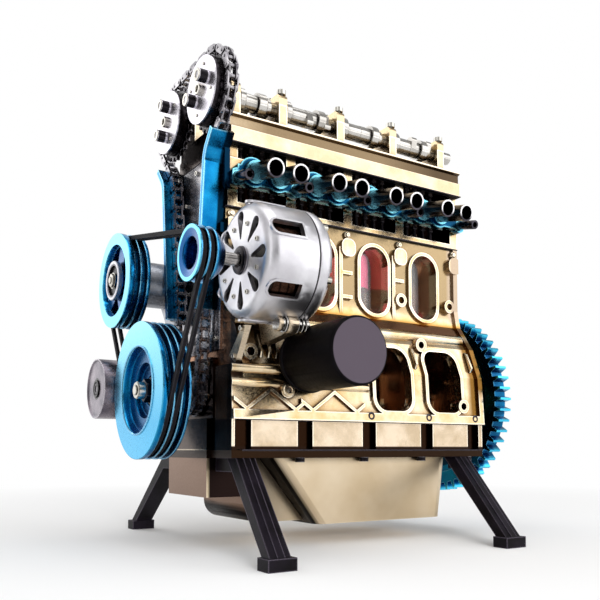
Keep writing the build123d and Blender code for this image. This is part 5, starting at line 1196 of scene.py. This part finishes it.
class ENGINE_OT_studio(bpy.types.Operator):
    """Set the floor, the lights and the camera of the studio"""
    bl_idname = "engine.studio"
    bl_label = "Studio"

    lens = 44.34
    shift_up = 0.162
    eye = (-0.15761, -0.24306, 0.03394)
    look = (radians(94.0), 0.0, radians(-32.38))

    # Name in the panel, place, point aimed at, width and height, all in metres
    lamps = (("key", (0.6, -0.72, 0.34), (0.0, 0.0, 0.08), 1.3, 0.9),
             ("left", (-0.5, 0.82, 0.26), (0.0, 0.0, 0.09), 0.9, 0.8),
             ("top", (-0.05, -0.15, 0.95), (0.0, 0.0, 0.1), 0.9, 0.7),
             ("fill", (-0.95, -0.45, 0.3), (0.0, 0.0, 0.09), 0.25, 0.8),
             ("hollows", (-0.25, -0.9, 0.14), (0.0, 0.0, 0.09), 0.3, 0.3))

    floor_r = 6.0
    # Distances, in metres, where the paper starts to glow and where it glows fully
    glow_from, glow_full = 0.1, 0.45
    # Level of the walls at the horizon, and the height where they turn to full white
    wall_level, wall_top = 0.12, 0.45
    # Size, edges and darkest level of the soft boxes on the walls
    box_scale, box_edges, box_level = 2.2, (0.42, 0.58), 0.45

    def execute(self, context):
        studio = context.scene.engine_studio
        scene = context.scene
        self.lay_floor(studio)
        for name, place, aim, width, height in self.lamps:
            data = bpy.data.lights.new(name, "AREA")
            data.shape = "RECTANGLE"
            data.size, data.size_y = width, height
            data.energy = getattr(studio, name)
            lamp = bpy.data.objects.new(name, data)
            lamp.location = place
            # The lamp that reaches into the windows is kept out of the mirror-like metals
            lamp.visible_glossy = name != "hollows"
            lamp.rotation_euler = (Vector(aim) - Vector(place)).to_track_quat("-Z", "Y").to_euler()
            scene.collection.objects.link(lamp)
        self.fill_sky(scene, studio)
        data = bpy.data.cameras.new("photo view")
        data.sensor_width = 36.0
        data.lens = self.lens
        data.shift_y = self.shift_up
        data.clip_start = 1 * MM
        camera = bpy.data.objects.new("photo_view", data)
        camera.location, camera.rotation_euler = self.eye, self.look
        scene.collection.objects.link(camera)
        scene.camera = camera
        scene.view_settings.view_transform = "Standard"
        return {"FINISHED"}

    def lay_floor(self, studio):
        """A pale floor that keeps soft shadows and meets the backdrop without a line."""
        bm = bmesh.new()
        bmesh.ops.create_circle(bm, cap_ends=True, segments=64, radius=self.floor_r)
        mesh = bpy.data.meshes.new("floor")
        bm.to_mesh(mesh)
        bm.free()
        floor = bpy.data.objects.new("floor", mesh)
        bpy.context.scene.collection.objects.link(floor)
        material = bpy.data.materials.new("studio_paper")
        tree = bare_tree(material)
        paper = add_node(tree, "ShaderNodeBsdfDiffuse", {"Color": linear("#F4F4F4")})
        glow = add_node(tree, "ShaderNodeEmission", {"Color": tuple(studio.backdrop), "Strength": 1.0})
        ray = add_node(tree, "ShaderNodeLightPath").outputs
        seen = calculated(tree, "MAXIMUM", ray["Is Camera Ray"], ray["Is Glossy Ray"])
        seen = calculated(tree, "MAXIMUM", seen, ray["Is Transmission Ray"])
        # The paper glows more with distance, so that it meets the backdrop without a line
        away = add_node(tree, "ShaderNodeVectorMath",
                        {0: add_node(tree, "ShaderNodeTexCoord").outputs["Object"]},
                        operation="LENGTH")
        glowing = ranged(tree, away.outputs["Value"], self.glow_from, self.glow_full)
        share = calculated(tree, "MULTIPLY", seen, glowing)
        both = add_node(tree, "ShaderNodeMixShader", {0: share, 1: paper.outputs[0],
                                                      2: glow.outputs[0]})
        add_node(tree, "ShaderNodeOutputMaterial", {"Surface": both.outputs[0]})
        mesh.materials.append(material)

    def fill_sky(self, scene, studio):
        """White for whatever sees the backdrop, an even grey light for the rest."""
        world = bpy.data.worlds.new("studio")
        scene.world = world
        tree = bare_tree(world)
        ray = add_node(tree, "ShaderNodeLightPath").outputs
        backdrop = calculated(tree, "MAXIMUM", ray["Is Camera Ray"], ray["Is Transmission Ray"])
        place = add_node(tree, "ShaderNodeTexCoord").outputs["Generated"]
        split = add_node(tree, "ShaderNodeSeparateXYZ", {"Vector": place})
        # Dark studio walls low down and a white ceiling give metal its contrast
        walls = ranged(tree, split.outputs["Z"], 0.0, self.wall_top, self.wall_level, smooth=True)
        soft = add_node(tree, "ShaderNodeTexNoise", {"Vector": place, "Scale": self.box_scale,
                                                     "Detail": 1.0})
        boxes = ranged(tree, soft.outputs["Fac"], *self.box_edges, self.box_level, smooth=True)
        mirror = calculated(tree, "MULTIPLY", walls, boxes)
        glossy = calculated(tree, "MULTIPLY", mirror, ray["Is Glossy Ray"])
        seen = calculated(tree, "MAXIMUM", glossy, backdrop)
        dull = calculated(tree, "MAXIMUM", backdrop, ray["Is Glossy Ray"])
        rest = calculated(tree, "SUBTRACT", 1.0, dull)
        even = calculated(tree, "MULTIPLY", rest, studio.sky)
        level = calculated(tree, "ADD", seen, even)
        light = add_node(tree, "ShaderNodeBackground", {"Color": tuple(studio.backdrop),
                                                        "Strength": level})
        add_node(tree, "ShaderNodeOutputWorld", {"Surface": light.outputs[0]})


class ENGINE_PT_panel(bpy.types.Panel):
    """Sizes, colours and steps of the desk engine"""
    bl_idname = "ENGINE_PT_panel"
    bl_label = "Desk engine"
    bl_space_type = "VIEW_3D"
    bl_region_type = "UI"
    bl_category = "Engine"

    def draw(self, context):
        for group in (context.scene.engine_finishes, context.scene.engine_fittings,
                      context.scene.engine_studio):
            box = self.layout.box()
            for name in group.__annotations__:
                box.prop(group, name)
        for step in STEPS:
            self.layout.operator(step.bl_idname)


STEPS = (ENGINE_OT_finishes, ENGINE_OT_broken_edges, ENGINE_OT_cam_fittings,
         ENGINE_OT_pulley_fittings, ENGINE_OT_alternator_fittings, ENGINE_OT_block_fittings,
         ENGINE_OT_head_fittings, ENGINE_OT_front_fittings, ENGINE_OT_bracket_fittings,
         ENGINE_OT_stand_fittings, ENGINE_OT_studio)
GROUPS = (("engine_finishes", EngineFinishes), ("engine_fittings", EngineFittings),
          ("engine_studio", EngineStudio))


def register():
    for name, group in GROUPS:
        bpy.utils.register_class(group)
        setattr(bpy.types.Scene, name, PointerProperty(type=group))
    for step in STEPS:
        bpy.utils.register_class(step)
    bpy.utils.register_class(ENGINE_PT_panel)


def unregister():
    bpy.utils.unregister_class(ENGINE_PT_panel)
    for step in reversed(STEPS):
        bpy.utils.unregister_class(step)
    for name, group in reversed(GROUPS):
        delattr(bpy.types.Scene, name)
        bpy.utils.unregister_class(group)


def main():
    register()
    for step in STEPS:
        area, name = step.bl_idname.split(".")
        getattr(getattr(bpy.ops, area), name)()


if __name__ == "__main__":
    main()
